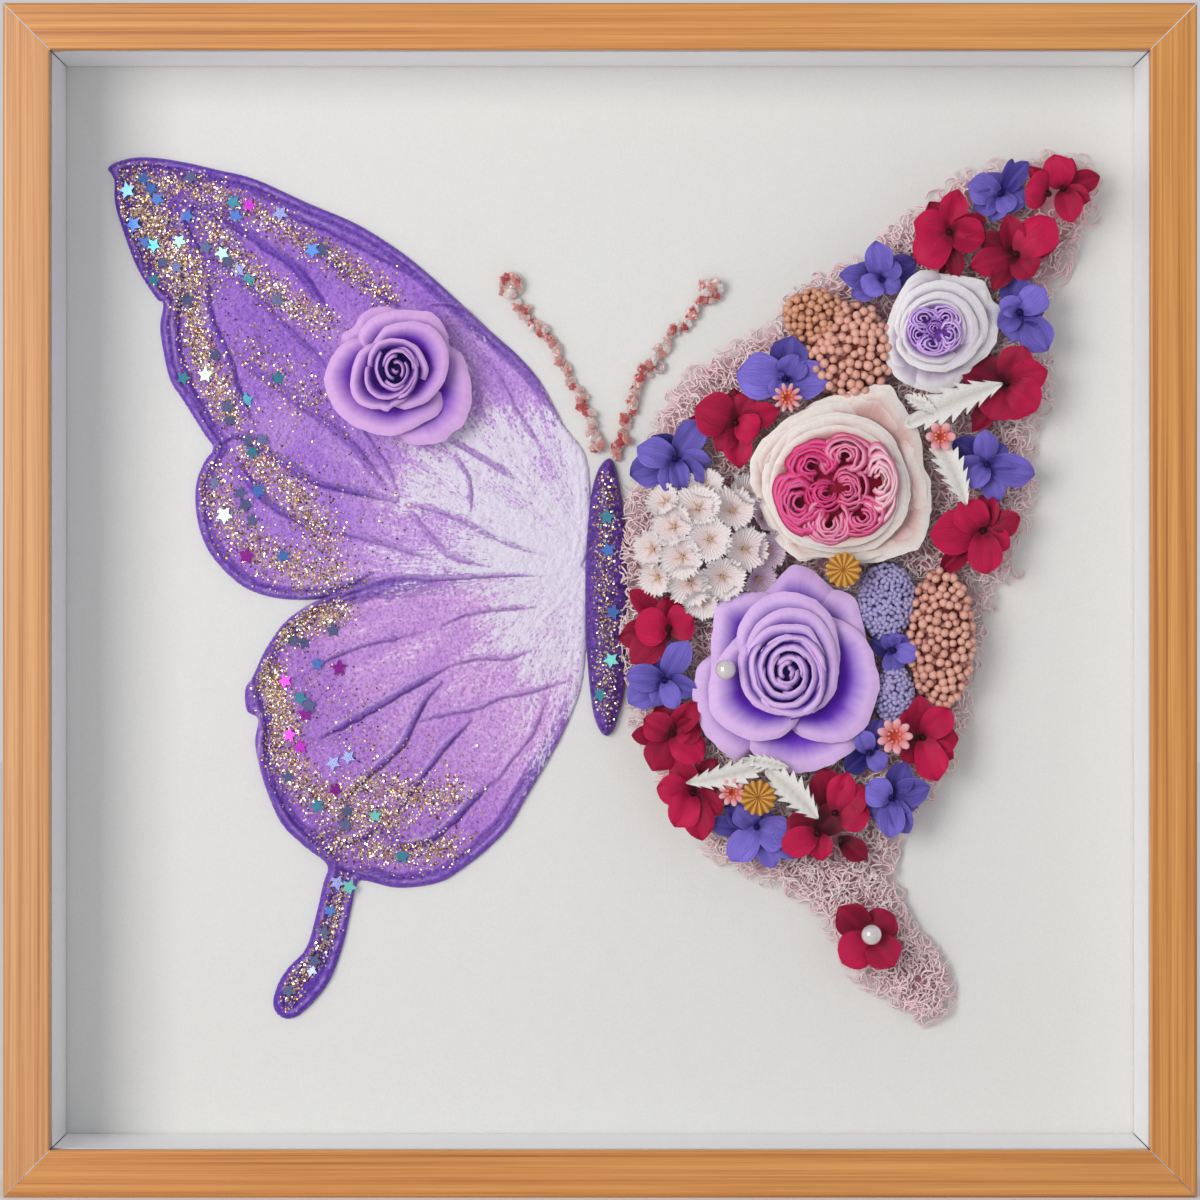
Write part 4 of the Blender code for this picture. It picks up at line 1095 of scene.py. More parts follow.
def add_shaded_floor(batch, heart, wide, tall, level, tint, room):
    """A disc under the petals of a heart, darkened as painted shade in the gaps between them."""
    reach, turn = np.meshgrid(np.linspace(0, 1.15, 5), np.arange(32) * math.pi / 16, indexing="ij")
    height = room[0] + room[1] * (level - 0.12 * reach**2)
    points = at(heart[0] + wide * reach * np.cos(turn), heart[1] + tall * reach * np.sin(turn), height)
    batch.add(points, grid_faces(5, 32, wrapped=True), linear(tint) * 0.6)


def add_quarters(batch, heart, ring, count, quarters, tints, room, rng):
    """A quartered heart: bunches of petals folded round each other, all pressed inside a ring."""
    turn = np.linspace(-2.5, 2.5, 17)
    deep, light, pale = (np.array(tint, float) for tint in tints)
    for column, row, wide, tall, lightness in quarters:
        petal_tints = (deep + (light - deep) * 0.7 * lightness, light + (pale - light) * lightness)
        facing = math.atan2((row - heart[1]) / ring[1], (column - heart[0]) / ring[0])
        inward = math.hypot((row - heart[1]) / ring[1], (column - heart[0]) / ring[0])
        for index in range(count):
            share = index / (count - 1)
            reach = 1.05 - 0.86 * share
            ruffle = 1 + 0.18 * noise(turn * 1.2, 0 * turn, index + column) + rng.normal(0, 0.05, len(turn))
            angle = facing + turn + rng.normal(0, 0.25)
            right = (column + wide * reach * ruffle * np.cos(angle) - heart[0]) / ring[0]
            down = (row + tall * reach * ruffle * np.sin(angle) - heart[1]) / ring[1]
            press = 1 / (1 + np.hypot(right, down) ** 10) ** 0.1
            rim = np.stack([heart[0] + ring[0] * right * press, heart[1] + ring[1] * down * press], -1)
            level = 0.78 + 0.06 * min(inward / 0.6, 1) + 0.09 * share + rng.normal(0, 0.02)
            foot = 1 + 0.27 / (reach + 0.1)
            middle = np.array([column, row])
            place = (middle, rim, level, level - 0.10, foot)
            add_petal(batch, *place, petal_tints, (0.05, 0.75), room, rng, SMALL_MESH)
    add_shaded_floor(batch, heart, ring[0] * 0.8, ring[1] * 0.8, 0.66, tints[0], room)


def make_roses(looks):
    """Four roses, their outer petals placed one by one."""
    for node_name, (name, slot, seed, heart) in ROSES.items():
        rng = np.random.default_rng(seed)
        room = room_of(node_name)
        heart = np.array(heart, float)
        outer, inner = ROSE_TINTS[node_name]
        fade = PETAL_SHADE_FADES[node_name]
        batch = Batch()
        for level, foot, rim in ROSE_PETALS[node_name]:
            add_petal(batch, heart, rim, level, 0.5 * level, foot, outer, fade, room, rng)
            for share in LAYERS.get(node_name, ()) if level < 0.7 else ():
                spots = heart + (np.array(rim[1:-1]) - heart) * share
                add_petal(batch, heart, spots, level + 0.03, 0.5 * level, foot, outer, fade, room, rng)
        if node_name in BUDS:
            add_bud(batch, *BUDS[node_name], inner, room, rng)
        else:
            add_quarters(batch, heart, *QUARTERS[node_name], inner, room, rng)
        batch.piece(name, looks["rose_petal"], slot, node_name)


# Hydrangeas, as florets of (middle, back to front: tips with their half widths)
FLORETS = {
    "crimson": {
        "wing_tip": (
            ((1046, 196), (1027, 167, 7), (1023, 190, 17)),
            ((1060, 191), (1070, 159, 9), (1098, 178, 10), (1088, 203, 9), (1051, 157, 14), (1070, 226, 12)),
            ((1014, 256), (990, 292, 9), (976, 236, 10), (1006, 216, 11), (968, 268, 12), (1031, 278, 14),
             (1056, 244, 10), (1052, 222, 17)),
            ((947, 234), (940, 279, 4), (955, 281, 8), (928, 203, 12), (984, 221, 10), (956, 191, 12),
             (983, 242, 15), (912, 224, 15), (914, 264, 17)),
        ),
        "right_upper": (
            ((1005, 385), (972, 432, 10), (961, 366, 18), (1022, 347, 15), (1046, 372, 15), (987, 420, 18),
             (1034, 412, 19)),
        ),
        "left_upper": (
            ((735, 424), (689, 419, 6), (752, 395, 12), (733, 389, 10), (779, 411, 11), (716, 452, 10),
             (738, 469, 13), (694, 408, 20), (758, 434, 13)),
        ),
        "right_middle": (
            ((981, 531), (938, 573, 9), (986, 494, 11), (1019, 518, 12), (1008, 548, 11), (927, 534, 20),
             (958, 502, 16), (984, 574, 14)),
        ),
        "left_middle": (
            ((668, 628), (630, 590, 10), (618, 638, 12), (673, 596, 13), (630, 664, 15), (694, 618, 16),
             (634, 626, 17)),
        ),
        "left_lower": (
            ((672, 733), (630, 735, 9), (702, 727, 11), (661, 701, 11), (697, 701, 11), (652, 770, 15),
             (702, 760, 15), (643, 718, 13)),
            ((692, 792), (716, 758, 11), (722, 812, 11), (718, 786, 12), (676, 757, 12), (656, 786, 13),
             (702, 839, 14), (674, 826, 14)),
        ),
        "right_lower": (
            ((921, 737), (903, 762, 11), (900, 710, 12), (918, 694, 12), (957, 738, 13), (952, 758, 10),
             (948, 708, 13), (936, 780, 14)),
        ),
        "bottom": (
            ((834, 812), (822, 768, 14), (864, 786, 14), (868, 812, 16), (845, 771, 12)),
            ((816, 832), (842, 806, 13), (786, 818, 13), (822, 860, 11), (780, 848, 13)),
            ((840, 838), (866, 859, 10)),
        ),
        "tail": (((869, 935), (838, 906, 15), (892, 913, 15), (893, 965, 15), (840, 962, 17)),),
    },
    "blue": {
        "wing_tip": (
            ((999, 196), (988, 174, 13), (1027, 163, 9), (1011, 160, 5), (1024, 205, 13), (971, 212, 11),
             (990, 223, 9), (966, 186, 14), (1009, 214, 10)),
        ),
        "upper": (
            ((880, 281), (837, 277, 10), (916, 262, 13), (852, 268, 10), (851, 298, 10), (874, 242, 12),
             (896, 263, 10), (899, 291, 9), (862, 294, 11)),
        ),
        "right_upper": (
            ((1018, 313), (1012, 278, 14), (1043, 314, 11), (1049, 336, 6), (1010, 344, 13), (1045, 352, 14),
             (997, 302, 10), (996, 328, 11), (1043, 290, 13)),
        ),
        "veined": (
            ((784, 380), (820, 350, 11), (774, 362, 10), (792, 337, 16), (828, 384, 17), (798, 356, 13),
             (771, 400, 9), (736, 374, 20)),
        ),
        "left_upper": (
            ((675, 460), (651, 436, 13), (686, 421, 5), (630, 476, 15), (704, 484, 10), (711, 462, 10),
             (701, 421, 13), (664, 492, 10), (636, 447, 13), (683, 491, 9)),
        ),
        "right_middle": (
            ((985, 465), (953, 441, 13), (1005, 446, 11), (1026, 461, 6), (998, 502, 11), (1033, 475, 14),
             (983, 431, 11), (955, 470, 10), (968, 489, 9)),
        ),
        "small": (((892, 650), (871, 640, 10), (910, 636, 9), (886, 630, 9), (893, 673, 10), (917, 656, 9)),),
        "left_middle": (
            ((664, 680), (643, 659, 12), (670, 640, 5), (628, 703, 13), (697, 692, 10), (688, 639, 12),
             (655, 706, 9), (626, 675, 12), (676, 708, 9)),
        ),
        "right_lower": (
            ((868, 752), (845, 771, 10), (880, 718, 10), (884, 768, 9), (858, 730, 9)),
            ((890, 797), (906, 762, 12), (867, 814, 11), (929, 786, 13), (918, 803, 10), (908, 832, 10),
             (888, 837, 12), (864, 785, 13)),
        ),
        "bottom": (
            ((756, 826), (724, 806, 10), (706, 824, 9), (768, 808, 11), (798, 856, 11), (774, 866, 11),
             (736, 803, 12), (731, 860, 13), (788, 838, 15)),
        ),
    },
}  # fmt: skip
# Dark and light tints of the sepals; the dark end is painted shade, for sepals under others and near a
# floret's middle
SEPAL_TINTS = {
    "crimson": ((76, 0, 26), (214, 20, 82)),
    "blue": ((38, 26, 120), (140, 122, 230)),
}
SEPAL_ROWS, SEPAL_COLUMNS = 12, 9
# How much a sepal rises, cups, turns down at its tip and twists, from least to most
SEPAL_RISE = (0.0014, 0.0038)
SEPAL_CUP = (-0.0014, 0.0034)
SEPAL_RECURVE = (0.0002, 0.0020)
SEPAL_TWIST = (-0.75, 0.75)


def sepal(length, width, rise, cup, recurve, twist, seed):
    """A broad round sepal along +right from the floret's middle: it rises, cups and turns down at its tip."""
    turn, u = np.meshgrid(np.linspace(0.10, 1, SEPAL_ROWS), np.linspace(-1, 1, SEPAL_COLUMNS), indexing="ij")
    v = 0.5 - 0.5 * np.cos(turn * math.pi)
    broad = np.sin(turn * math.pi) ** (0.8 + 1.0 * v**2) * (0.84 + 0.34 * v)
    ripple = 0.07 * noise(u * 2 + seed, v * 3, seed)
    right = length * (v + ripple * v * (1 - v**6))
    up = width * u * broad * (1 + ripple)
    out = rise * np.sin(v * math.pi * 0.62) - recurve * v**3 + cup * (u * broad) ** 2
    out = out + 0.09 * length * noise(u * 1.4 - seed, v * 2.0 + seed, seed + 1) * v
    out = out - 0.00035 * glow(u, 0.16) * np.sin(v * math.pi)
    out = out + twist * up * v
    return np.stack([right, up, out], -1), u, v


def make_hydrangeas(looks):
    """Every sprig of hydrangea as one piece of cupped, veined sepals."""
    rng = np.random.default_rng(23)
    faces = grid_faces(SEPAL_ROWS, SEPAL_COLUMNS)
    for colour, groups in FLORETS.items():
        dark, light = (linear(tint) for tint in SEPAL_TINTS[colour])
        for where, florets in groups.items():
            node_name = f"{colour}_hydrangea_{where}"
            base, room = room_of(node_name)
            batch = Batch()
            for (column, row), *tips in florets:
                for index, (tip_column, tip_row, half) in enumerate(tips):
                    layer = index / max(len(tips) - 1, 1)
                    across, down = tip_column - column, tip_row - row
                    shape, u, v = sepal(
                        1.04 * math.hypot(across, down) * SCALE, 1.2 * half * SCALE,
                        rng.uniform(*SEPAL_RISE), rng.uniform(*SEPAL_CUP),
                        rng.uniform(*SEPAL_RECURVE), rng.uniform(*SEPAL_TWIST), int(rng.integers(1, 99)),
                    )  # fmt: skip
                    shape = turned(shape, 0, -rng.uniform(0.0, 0.16), 0)
                    shape = turned(shape, math.atan2(-down, across))
                    shape[..., 2] += room * (0.22 + 0.42 * layer)
                    shape[..., 2] = np.minimum(shape[..., 2], room - 0.0001 - 0.00015 * (len(tips) - index))
                    # Painted shade: sepals lower in the floret and the part near its middle are darker; the
                    # midrib and the edges are lighter.
                    rib = 0.22 * glow(u, 0.14) + 0.25 * np.abs(u) ** 3
                    share = 0.05 + 0.5 * layer + 0.4 * v + rib + rng.normal(0, 0.14) - 0.3 * (v < 0.25)
                    tint = blend(dark, light, share)
                    batch.add(placed(shape, column, row, base), faces, tint, np.stack([u, v], -1))
                # The knob at the floret's middle takes 0.6 of the dark, painted-shade tint.
                knob, knob_faces = ball(4, 8)
                knob = knob * 0.0011 + (0, 0, room * 0.70)
                batch.add(placed(knob, column, row, base), knob_faces, dark * 0.6)
            batch.piece(f"{colour}_florets_{where}", looks["sepal"], colour, node_name)


def make_moss(looks):
    """Two beds of curly moss, with strands wherever no flower hides them."""
    rng = np.random.default_rng(31)
    covered = list(HIDDEN_MOSS)
    for groups in FLORETS.values():
        shown = [florets for where, florets in groups.items() if where != "tail"]
        for (column, row), *tips in sum(shown, ()):
            reach = np.mean([math.hypot(tip[0] - column, tip[1] - row) for tip in tips])
            covered.append((column, row, reach * 0.6, reach * 0.6))
    for name, outline in (("forewing", MOSS_FORE), ("hindwing", MOSS_HIND)):
        bed, strands = Batch(), Batch()
        relief(bed, outline, moss_heights, moss_tints, MOSS_STEP)
        bed.piece(f"moss_bed_{name}", looks["moss"], "moss", f"moss_{name}")
        grow_strands(strands, outline, covered, MOSS_STRANDS, rng)
        strands.piece(f"moss_strands_{name}", looks["moss"], "moss", f"moss_{name}")


def moss_heights(spots, edge):
    """The felt under the strands. It ends a little inside the outline."""
    lumps = 0.5 + 0.5 * grain(spots[:, 0] / 9, spots[:, 1] / 9, 41)
    inner = edge - 8 - 5 * noise(spots[:, 0] / 12, spots[:, 1] / 12, 43)
    felt = 0.0005 + 0.0042 * (1 - np.exp(-inner / 12)) * (0.45 + 0.55 * lumps)
    return np.where(inner > 0, felt, 2 * SUNK)


def moss_tints(_spots, edge, heights):
    """Darker pink the lower the felt lies, as painted shade between the lumps, and pale at the rim."""
    deep = shades((150, 82, 98), (240, 180, 192), heights / 0.0046)
    return blend(linear((230, 206, 208)), deep, (edge - 6) / 22)


def grow_strands(batch, outline, covered, count, rng):
    """Thin curly strands that wander through the bed and stand a little over it."""
    edge = rounded(outline)
    low, high = edge.min(0), edge.max(0)
    spots = rng.uniform(low, high, (count * 9, 2))
    spots = spots[inside(spots, edge)]
    for column, row, wide, tall in covered:
        spots = spots[((spots[:, 0] - column) / wide) ** 2 + ((spots[:, 1] - row) / tall) ** 2 > 1]
    spots = spots[:count]
    steps = STRAND_STEPS
    turn = rng.uniform(0, 2 * math.pi, (len(spots), 1))
    curl = rng.normal(0, 0.20, (len(spots), 1)) * np.arange(steps)
    heading = turn + np.cumsum(rng.normal(0, 0.36, (len(spots), steps)), 1) + curl
    stride = rng.uniform(*STRAND_STRIDE, (len(spots), 1))
    strides = np.stack([np.cos(heading), np.sin(heading)], -1) * stride[..., None]
    path = spots[:, None, :] + np.cumsum(strides, 1)
    flat = path.reshape(-1, 2)
    away, _ = from_edge(flat, edge)
    signed = np.where(inside(flat, edge), away, -away).reshape(len(spots), steps)
    fits = signed.min(1) > -7
    path, signed = path[fits], signed[fits]
    limit = 0.0007 + MOSS_TOP * (1 - np.exp(-np.clip(signed + 7, 0, None) / 13))
    wave = rng.uniform(0, 6, (len(path), 1)) + np.arange(steps) * rng.uniform(0.4, 0.9, (len(path), 1))
    level = limit * (rng.uniform(0.62, 0.90, (len(path), 1)) + 0.10 * np.sin(wave))
    centre = at(path[..., 0], path[..., 1], level)
    ahead = np.gradient(centre, axis=1)
    ahead /= np.linalg.norm(ahead, axis=-1, keepdims=True)
    side = np.cross(ahead, (0, 1, 0))
    side /= np.linalg.norm(side, axis=-1, keepdims=True)
    over = np.cross(ahead, side)
    taper = np.sin(np.linspace(0.25, math.pi - 0.25, steps)) ** 0.5
    radius = rng.uniform(*STRAND_RADIUS, (len(path), 1)) * taper
    ring = np.arange(3)[:, None] * 2 * math.pi / 3
    round_it = np.cos(ring) * side[:, :, None] + np.sin(ring) * over[:, :, None]
    points = centre[:, :, None] + radius[..., None, None] * round_it
    faces = (np.arange(len(path)) * steps * 3)[:, None, None] + grid_faces(steps, 3, wrapped=True)
    # Painted shade: a strand is darker the lower it lies, on top of a random tone of its own.
    shade = rng.uniform(0, 1, (len(path), 1, 1)) * 0.5 + 0.5 * (level / MOSS_TOP)[..., None]
    shade = np.broadcast_to(shade, (len(path), steps, 3))
    tint = shades((252, 204, 212), (255, 242, 241), shade)
    batch.add(points, faces.reshape(-1, 4), tint.reshape(-1, 3))


# Other flowers
def ball(rings=6, around=8):
    """A unit ball's points and faces."""
    turn = np.linspace(0, math.pi, rings + 1)[:, None]
    way = np.arange(around)[None, :] * 2 * math.pi / around
    points = np.stack([np.sin(turn) * np.cos(way), np.sin(turn) * np.sin(way), np.cos(turn) + 0 * way], -1)
    return points.reshape(-1, 3), grid_faces(rings + 1, around, wrapped=True)


def add_core(batch, flower, node_name, top, foot, around, tint):
    """The dome under berries or cups."""
    column, row, wide, tall = flower
    base, height = room_of(node_name)
    core, faces = ball(8, around)
    core = core * (wide * SCALE, tall * SCALE, height * top)
    core[:, 2] = np.clip(core[:, 2], 0, None) + height * foot
    batch.add(placed(core, column, row, base), faces, tint)


def berries(batch, flower, node_name, size, tints, rng, crowd=1.0, long=1.0):
    """Round berries crowded over a dome, with painted shade on the lower berries and on each berry's side
    toward the board.
    """
    column, row, wide, tall = flower
    base, height = room_of(node_name)
    shape, faces = ball()
    found = np.zeros((0, 3))
    dark, light = (linear(tint) for tint in tints)
    for _ in range(5000):
        off = rng.uniform(-1, 1, 2)
        length = math.hypot(*off)
        if length > 1:
            continue
        depth = rng.choice((0.0, 0.0, 1.0))
        level = height * (0.30 + 0.58 * math.sqrt(1 - 0.96 * length**2)) - depth * size * SCALE * 0.8
        spot = np.array([off[0] * wide * SCALE, off[1] * tall * SCALE, level])
        gap = size * SCALE * crowd * rng.uniform(0.78, 0.95)
        if len(found) and np.min(np.linalg.norm(found - spot, axis=1)) < gap:
            continue
        found = np.concatenate([found, spot[None]])
        radius = size * SCALE * 0.5 * rng.uniform(0.88, 1.14)
        # Painted shade: darker on the side toward the board and for the lower berries, with a random tone
        # too.
        share = 0.62 + 0.42 * shape[:, 2] - 0.35 * depth + rng.normal(0, 0.14)
        radii = (radius, radius * rng.uniform(0.9, 1.0) * long, radius * 1.1)
        grown = turned(shape * radii, rng.random() * 6)
        batch.add(placed(grown + spot, column, row, base), faces, blend(dark, light, share))
    # The dome under the berries is darkened to 0.55 of the dark tint, as painted shade in the gaps.
    add_core(batch, (column, row, wide * 0.92, tall * 0.92), node_name, 0.62, 0.16, 16, dark * 0.55)


# Berries, as piece, CAD node, material, slot, and bunches of (flower, size, tints, crowding, length)
# Each pair of tints runs from the berries' painted shade to their own colour
PINK = ((164, 66, 60), (252, 192, 172))
ORANGE = ((160, 84, 62), (240, 176, 142))
LILAC = ((108, 94, 168), (194, 184, 230))
BERRIES = (
    ("rice_berries_upper", "rice_flower_upper", "berry", "rice",
     (((815, 317, 31, 26), 8.5, ORANGE, 0.9, 1.0), ((849, 352, 44, 49), 10.0, PINK, 0.88, 1.0))),
    ("rice_berries_right", "rice_flower_right", "berry", "rice",
     (((940, 638, 33, 69), 9.5, PINK, 0.88, 1.0),)),
    ("seed_cone_upper_nodules", "seed_cone_upper", "dry", "cone",
     (((885, 601, 29, 38), 7.0, LILAC, 0.66, 0.8),)),
    ("seed_cone_lower_nodules", "seed_cone_lower", "dry", "cone",
     (((893, 694, 20, 29), 7.0, LILAC, 0.66, 0.8),)),
)  # fmt: skip


def make_berries(looks):
    """The rice flowers and the seed cones."""
    rng = np.random.default_rng(41)
    for name, node_name, look, slot, bunches in BERRIES:
        batch = Batch()
        for flower, size, tints, crowd, long in bunches:
            berries(batch, flower, node_name, size, tints, rng, crowd, long)
        batch.piece(name, looks[look], slot, node_name)


# The seed cups of the scabiosa, off its middle
SCABIOSA = (709, 543)
SCABIOSA_CUPS = (
    (-4, -55), (36, -50), (-44, -40), (-57, 6), (-52, 34), (-8, 58), (26, 54), (54, -26), (58, 8), (48, 36),
    (-36, -16), (-12, -34), (22, -32), (34, 6), (12, 34), (-20, 40), (-28, 14), (-1, -3),
)  # fmt: skip

# A ray of the star in a cup's middle
NEEDLE = ((0, -0.00030, 0.0006), (0.0030, 0, 0.0020), (0, 0.00030, 0.0006), (0, 0, 0.0012))


def make_scabiosa(looks):
    """A ball of papery seed cups, each pleated and bristly, with a small star in its middle."""
    base, height = room_of("scabiosa_pod")
    rng = np.random.default_rng(51)
    pleats = 30
    around = pleats * 4
    spin = np.arange(around) * 2 * math.pi / around
    reach, turn = np.meshgrid(np.linspace(0.10, 1, 8), spin, indexing="ij")
    pleat = np.sin(pleats * turn)
    batch = Batch()
    for number, (right, down) in enumerate(SCABIOSA_CUPS):
        lean = min(math.hypot(right, down) / 64, 1.0)
        toward = math.atan2(-down, right)
        radius = (24 if lean < 0.75 else 19) * SCALE
        fringe = rng.uniform(0.82, 1.08, around)
        wide = radius * reach * np.where(reach == 1, fringe, 1 + 0.04 * noise(turn * 3, 0 * turn, number))
        cup = 0.0030 * reach**1.6 + 0.0003 * pleat * reach
        local = np.stack([wide * np.cos(turn), wide * np.sin(turn), cup], -1)
        local = turned(local, rng.random() * 6, lean * 0.7, toward)
        level = height * (0.86 - 0.44 * lean**2 + 0.03 * (number % 3 - 1))
        middle = np.array([right * SCALE, -down * SCALE, level - 0.0022])
        local = local + middle
        local[..., 2] = np.clip(local[..., 2], 0.0005, height - 0.0001 * number)
        mauve = (220, 172, 220) if right > 40 else (250, 222, 222)
        tint = shades(mauve, (255, 246, 246), reach * (1.2 if right < 40 else 0.6))
        # Painted shade: each pleat's fold is up to a tenth darker than its ridge.
        tint = tint * (0.95 + 0.05 * pleat)[..., None]
        batch.add(placed(local, *SCABIOSA, base), grid_faces(8, around, wrapped=True), tint)
        for ray in range(5):
            needle = turned(turned(NEEDLE, ray * 2 * math.pi / 5 + number), 0, lean * 0.7, toward) + middle
            batch.add(placed(needle, *SCABIOSA, base), [(0, 1, 3), (3, 1, 2)], linear((222, 186, 148)))
    add_core(batch, (*SCABIOSA, 56, 56), "scabiosa_pod", 0.54, 0.1, 20, linear((236, 196, 208)))
    batch.piece("scabiosa_cups", looks["dry"], "scabiosa", "scabiosa_pod")


def revolved(profile, around, bend=None):
    """A turned shape of (reach, level) rings, each optionally bent by bend(turn, index, reach, level)."""
    turn = np.arange(around) * 2 * math.pi / around
    rings = []
    for index, (reach, level) in enumerate(profile):
        if bend:
            reach, level = bend(turn, index, reach, level)
        rings.append(np.stack([reach * np.cos(turn), reach * np.sin(turn), level + 0 * turn], -1))
    return np.array(rings), grid_faces(len(profile), around, wrapped=True)


POPPIES = (("poppy_head_middle", 842, 570, 17), ("poppy_head_lower", 757, 796, 17))
# Rings of a poppy head from the middle of its crown, as shares of its reach and height
POPPY_RINGS = (
    (0.0, 0.90), (0.25, 0.93), (0.7, 0.97), (1.0, 1.0), (1.03, 0.95), (0.90, 0.88), (0.78, 0.74),
    (0.86, 0.45), (0.6, 0.1), (0.2, 0.0),
)  # fmt: skip
POPPY_RIBS = 13


def poppy_ribs(turn, index, reach, level):
    """A ring's reach and level with the crown's ribs."""
    rib = np.cos(POPPY_RIBS * turn)
    return reach * (1 + 0.07 * rib * (index in (3, 4, 5))), level + 0.015 * index * rib * (index in (1, 2, 3))


def make_poppies(looks):
    """Poppy heads: a ribbed ochre crown on a tan capsule."""
    around = POPPY_RIBS * 6
    shape, faces = revolved(POPPY_RINGS, around, poppy_ribs)
    ring = np.arange(len(POPPY_RINGS))[:, None] + np.zeros(around)
    rib = np.cos(POPPY_RIBS * np.arange(around) * 2 * math.pi / around)[None, :] + 0 * ring
    tint = shades((168, 96, 34), (236, 182, 90), 0.5 + 0.5 * rib)
    tint = np.where((ring > 5)[..., None], linear((206, 168, 124)), tint)
    tint = np.where((ring < 1)[..., None], linear((150, 92, 30)), tint)
    for node_name, column, row, size in POPPIES:
        base, height = room_of(node_name)
        batch = Batch()
        batch.add(placed(shape * (size * SCALE, size * SCALE, height), column, row, base), faces, tint)
        batch.piece(node_name + "_capsule", looks["dry"], "poppy", node_name)


# Waxflowers, as (CAD node, column, row, reach, petals, plumpness)
WAXFLOWERS = (
    ("waxflower_upper_left", 787, 398, 15, 10, 0.26), ("waxflower_upper_right", 940, 437, 15, 6, 0.52),
    ("waxflower_lower_right", 894, 736, 18, 9, 0.40), ("waxflower_lower_left", 732, 792, 14, 9, 0.38),
)  # fmt: skip
WAX_CUP = ((0.0, 0.50), (0.3, 0.52), (0.44, 0.70), (0.52, 0.86), (0.60, 0.74), (0.3, 0.05))


def make_waxflowers(looks):
    """Waxflowers: petals round a coral cup with a ring of beads in it."""
    lobe, lobe_faces = ball(6, 10)
    cup, cup_faces = revolved(WAX_CUP, 24)
    rings = np.repeat(np.arange(len(WAX_CUP)), 24).reshape(-1, 24)
    for node_name, column, row, size, petals, plump in WAXFLOWERS:
        base, height = room_of(node_name)
        reach = size * SCALE
        batch = Batch()
        for index in range(petals):
            spin = index * 2 * math.pi / petals
            grown = lobe * (0.36 * reach, plump * 0.62 * reach, 0.0007) + (0.68 * reach, 0, 0.74 * height)
            grown[:, 2] += 0.35 * np.clip(grown[:, 0] - 0.5 * reach, 0, None)
            tint = shades((232, 112, 116), (252, 188, 194), (grown[:, 0] / reach - 0.35) * 2)
            batch.add(placed(turned(grown, spin), column, row, base), lobe_faces, tint)
        tint = shades((214, 66, 60), (244, 140, 122), rings / 3)
        batch.add(placed(cup * (reach, reach, height), column, row, base), cup_faces, tint)
        for index in range(8):
            spin = (index + 0.5) * 2 * math.pi / 8
            spot = (0.34 * reach * math.cos(spin), 0.34 * reach * math.sin(spin), height * 0.80)
            batch.add(placed(lobe * 0.0005 + spot, column, row, base), lobe_faces, linear((246, 150, 118)))
        batch.piece(node_name + "_bloom", looks["dry"], "coral", node_name)


# Leaf sprays, as (foot, tip, half width) of each leaf
LEAVES = {
    "leaf_spray_upper": (
        ((908, 424), (1005, 383), 20), ((934, 436), (967, 507), 17), ((906, 396), (938, 414), 9),
    ),
    "leaf_spray_lower": (
        ((766, 764), (684, 783), 15), ((768, 770), (819, 820), 18), ((742, 760), (790, 768), 9),
    ),
}  # fmt: skip
LEAF_TEETH = 7
LEAF_MESH = (73, 11)


def leaf(batch, start, end, half, base):
    """A white leaf with forward-pointing teeth, folded a little along its midrib."""
    way = (np.array(end, float) - start) * (1, -1) * SCALE
    length = np.hypot(*way)
    rows, columns = LEAF_MESH
    v, u = np.meshgrid(np.linspace(0, 1, rows), np.linspace(-1, 1, columns), indexing="ij")
    tooth = (v * LEAF_TEETH) % 1
    broad = np.sin(math.pi * np.clip(v, 0, 1) ** 0.85) ** 0.65
    rim = np.clip((np.abs(u) - 0.55) / 0.45, 0, 1)
    width = half * SCALE * broad * (1 - 0.5 * tooth * rim)
    right = length * (v + 0.05 * rim * tooth - 0.04 * rim)
    up = width * u + 0.03 * length * np.sin(v * 3)
    out = 0.0010 * np.abs(u) + 0.0010 * np.sin(v * math.pi) + 0.00012 * np.sin(v * 50 - 9 * np.abs(u))
    local = turned(np.stack([right, up, out], -1), math.atan2(way[1], way[0]))
    tint = shades((214, 206, 198), (246, 243, 238), 0.2 + 2 * np.abs(u))
    batch.add(placed(local, *start, base), grid_faces(rows, columns), tint)


def make_leaves_and_pearls(looks):
    """The leaf sprays and the two pearls."""
    for node_name, leaves in LEAVES.items():
        batch = Batch()
        for start, end, half in leaves:
            leaf(batch, start, end, half, room_of(node_name)[0])
        batch.piece(node_name + "_blades", looks["dry"], "leaf", node_name)
    points, faces = ball(24, 36)
    for node_name in ("pearl_rose", "pearl_tail"):
        low, high = (np.array(corner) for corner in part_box(node_name))
        radius = (high[0] - low[0]) / 2
        batch = Batch()
        batch.add(points[:, [0, 2, 1]] * radius + (low + high) / 2, faces[:, ::-1], linear((232, 224, 224)))
        batch.piece(node_name + "_bead", looks["pearl"], "pearl", node_name)


# Antennas, as (path, tip), their chips, and the spot and the two radii of a loose ring bead by the right one
ANTENNAS = {
    "left": ((
        (600, 450), (595, 440), (591, 429), (590, 418), (582, 405), (579, 395), (573, 383), (563, 367),
        (558, 357), (553, 342), (543, 334), (528, 316), (518, 302),
    ), (510, 286)),
    "right": ((
        (616, 460), (614, 450), (621, 440), (626, 428), (622, 420), (631, 413), (632, 403), (632, 393),
        (640, 380), (645, 370), (655, 360), (665, 344), (670, 332), (681, 329), (691, 314), (704, 298),
    ), (710, 290)),
}  # fmt: skip
CHIP_TINTS = ((218, 100, 98), (250, 212, 206), (238, 162, 152), (255, 244, 240), (246, 194, 184))
CHIPS_ALONG, CHIPS_AT_TIP = 72, 34
CHIP_RADIUS = (4.2, 7.2)
RING_BEAD = (659, 367)
RING_RADII = (5.4, 1.9)


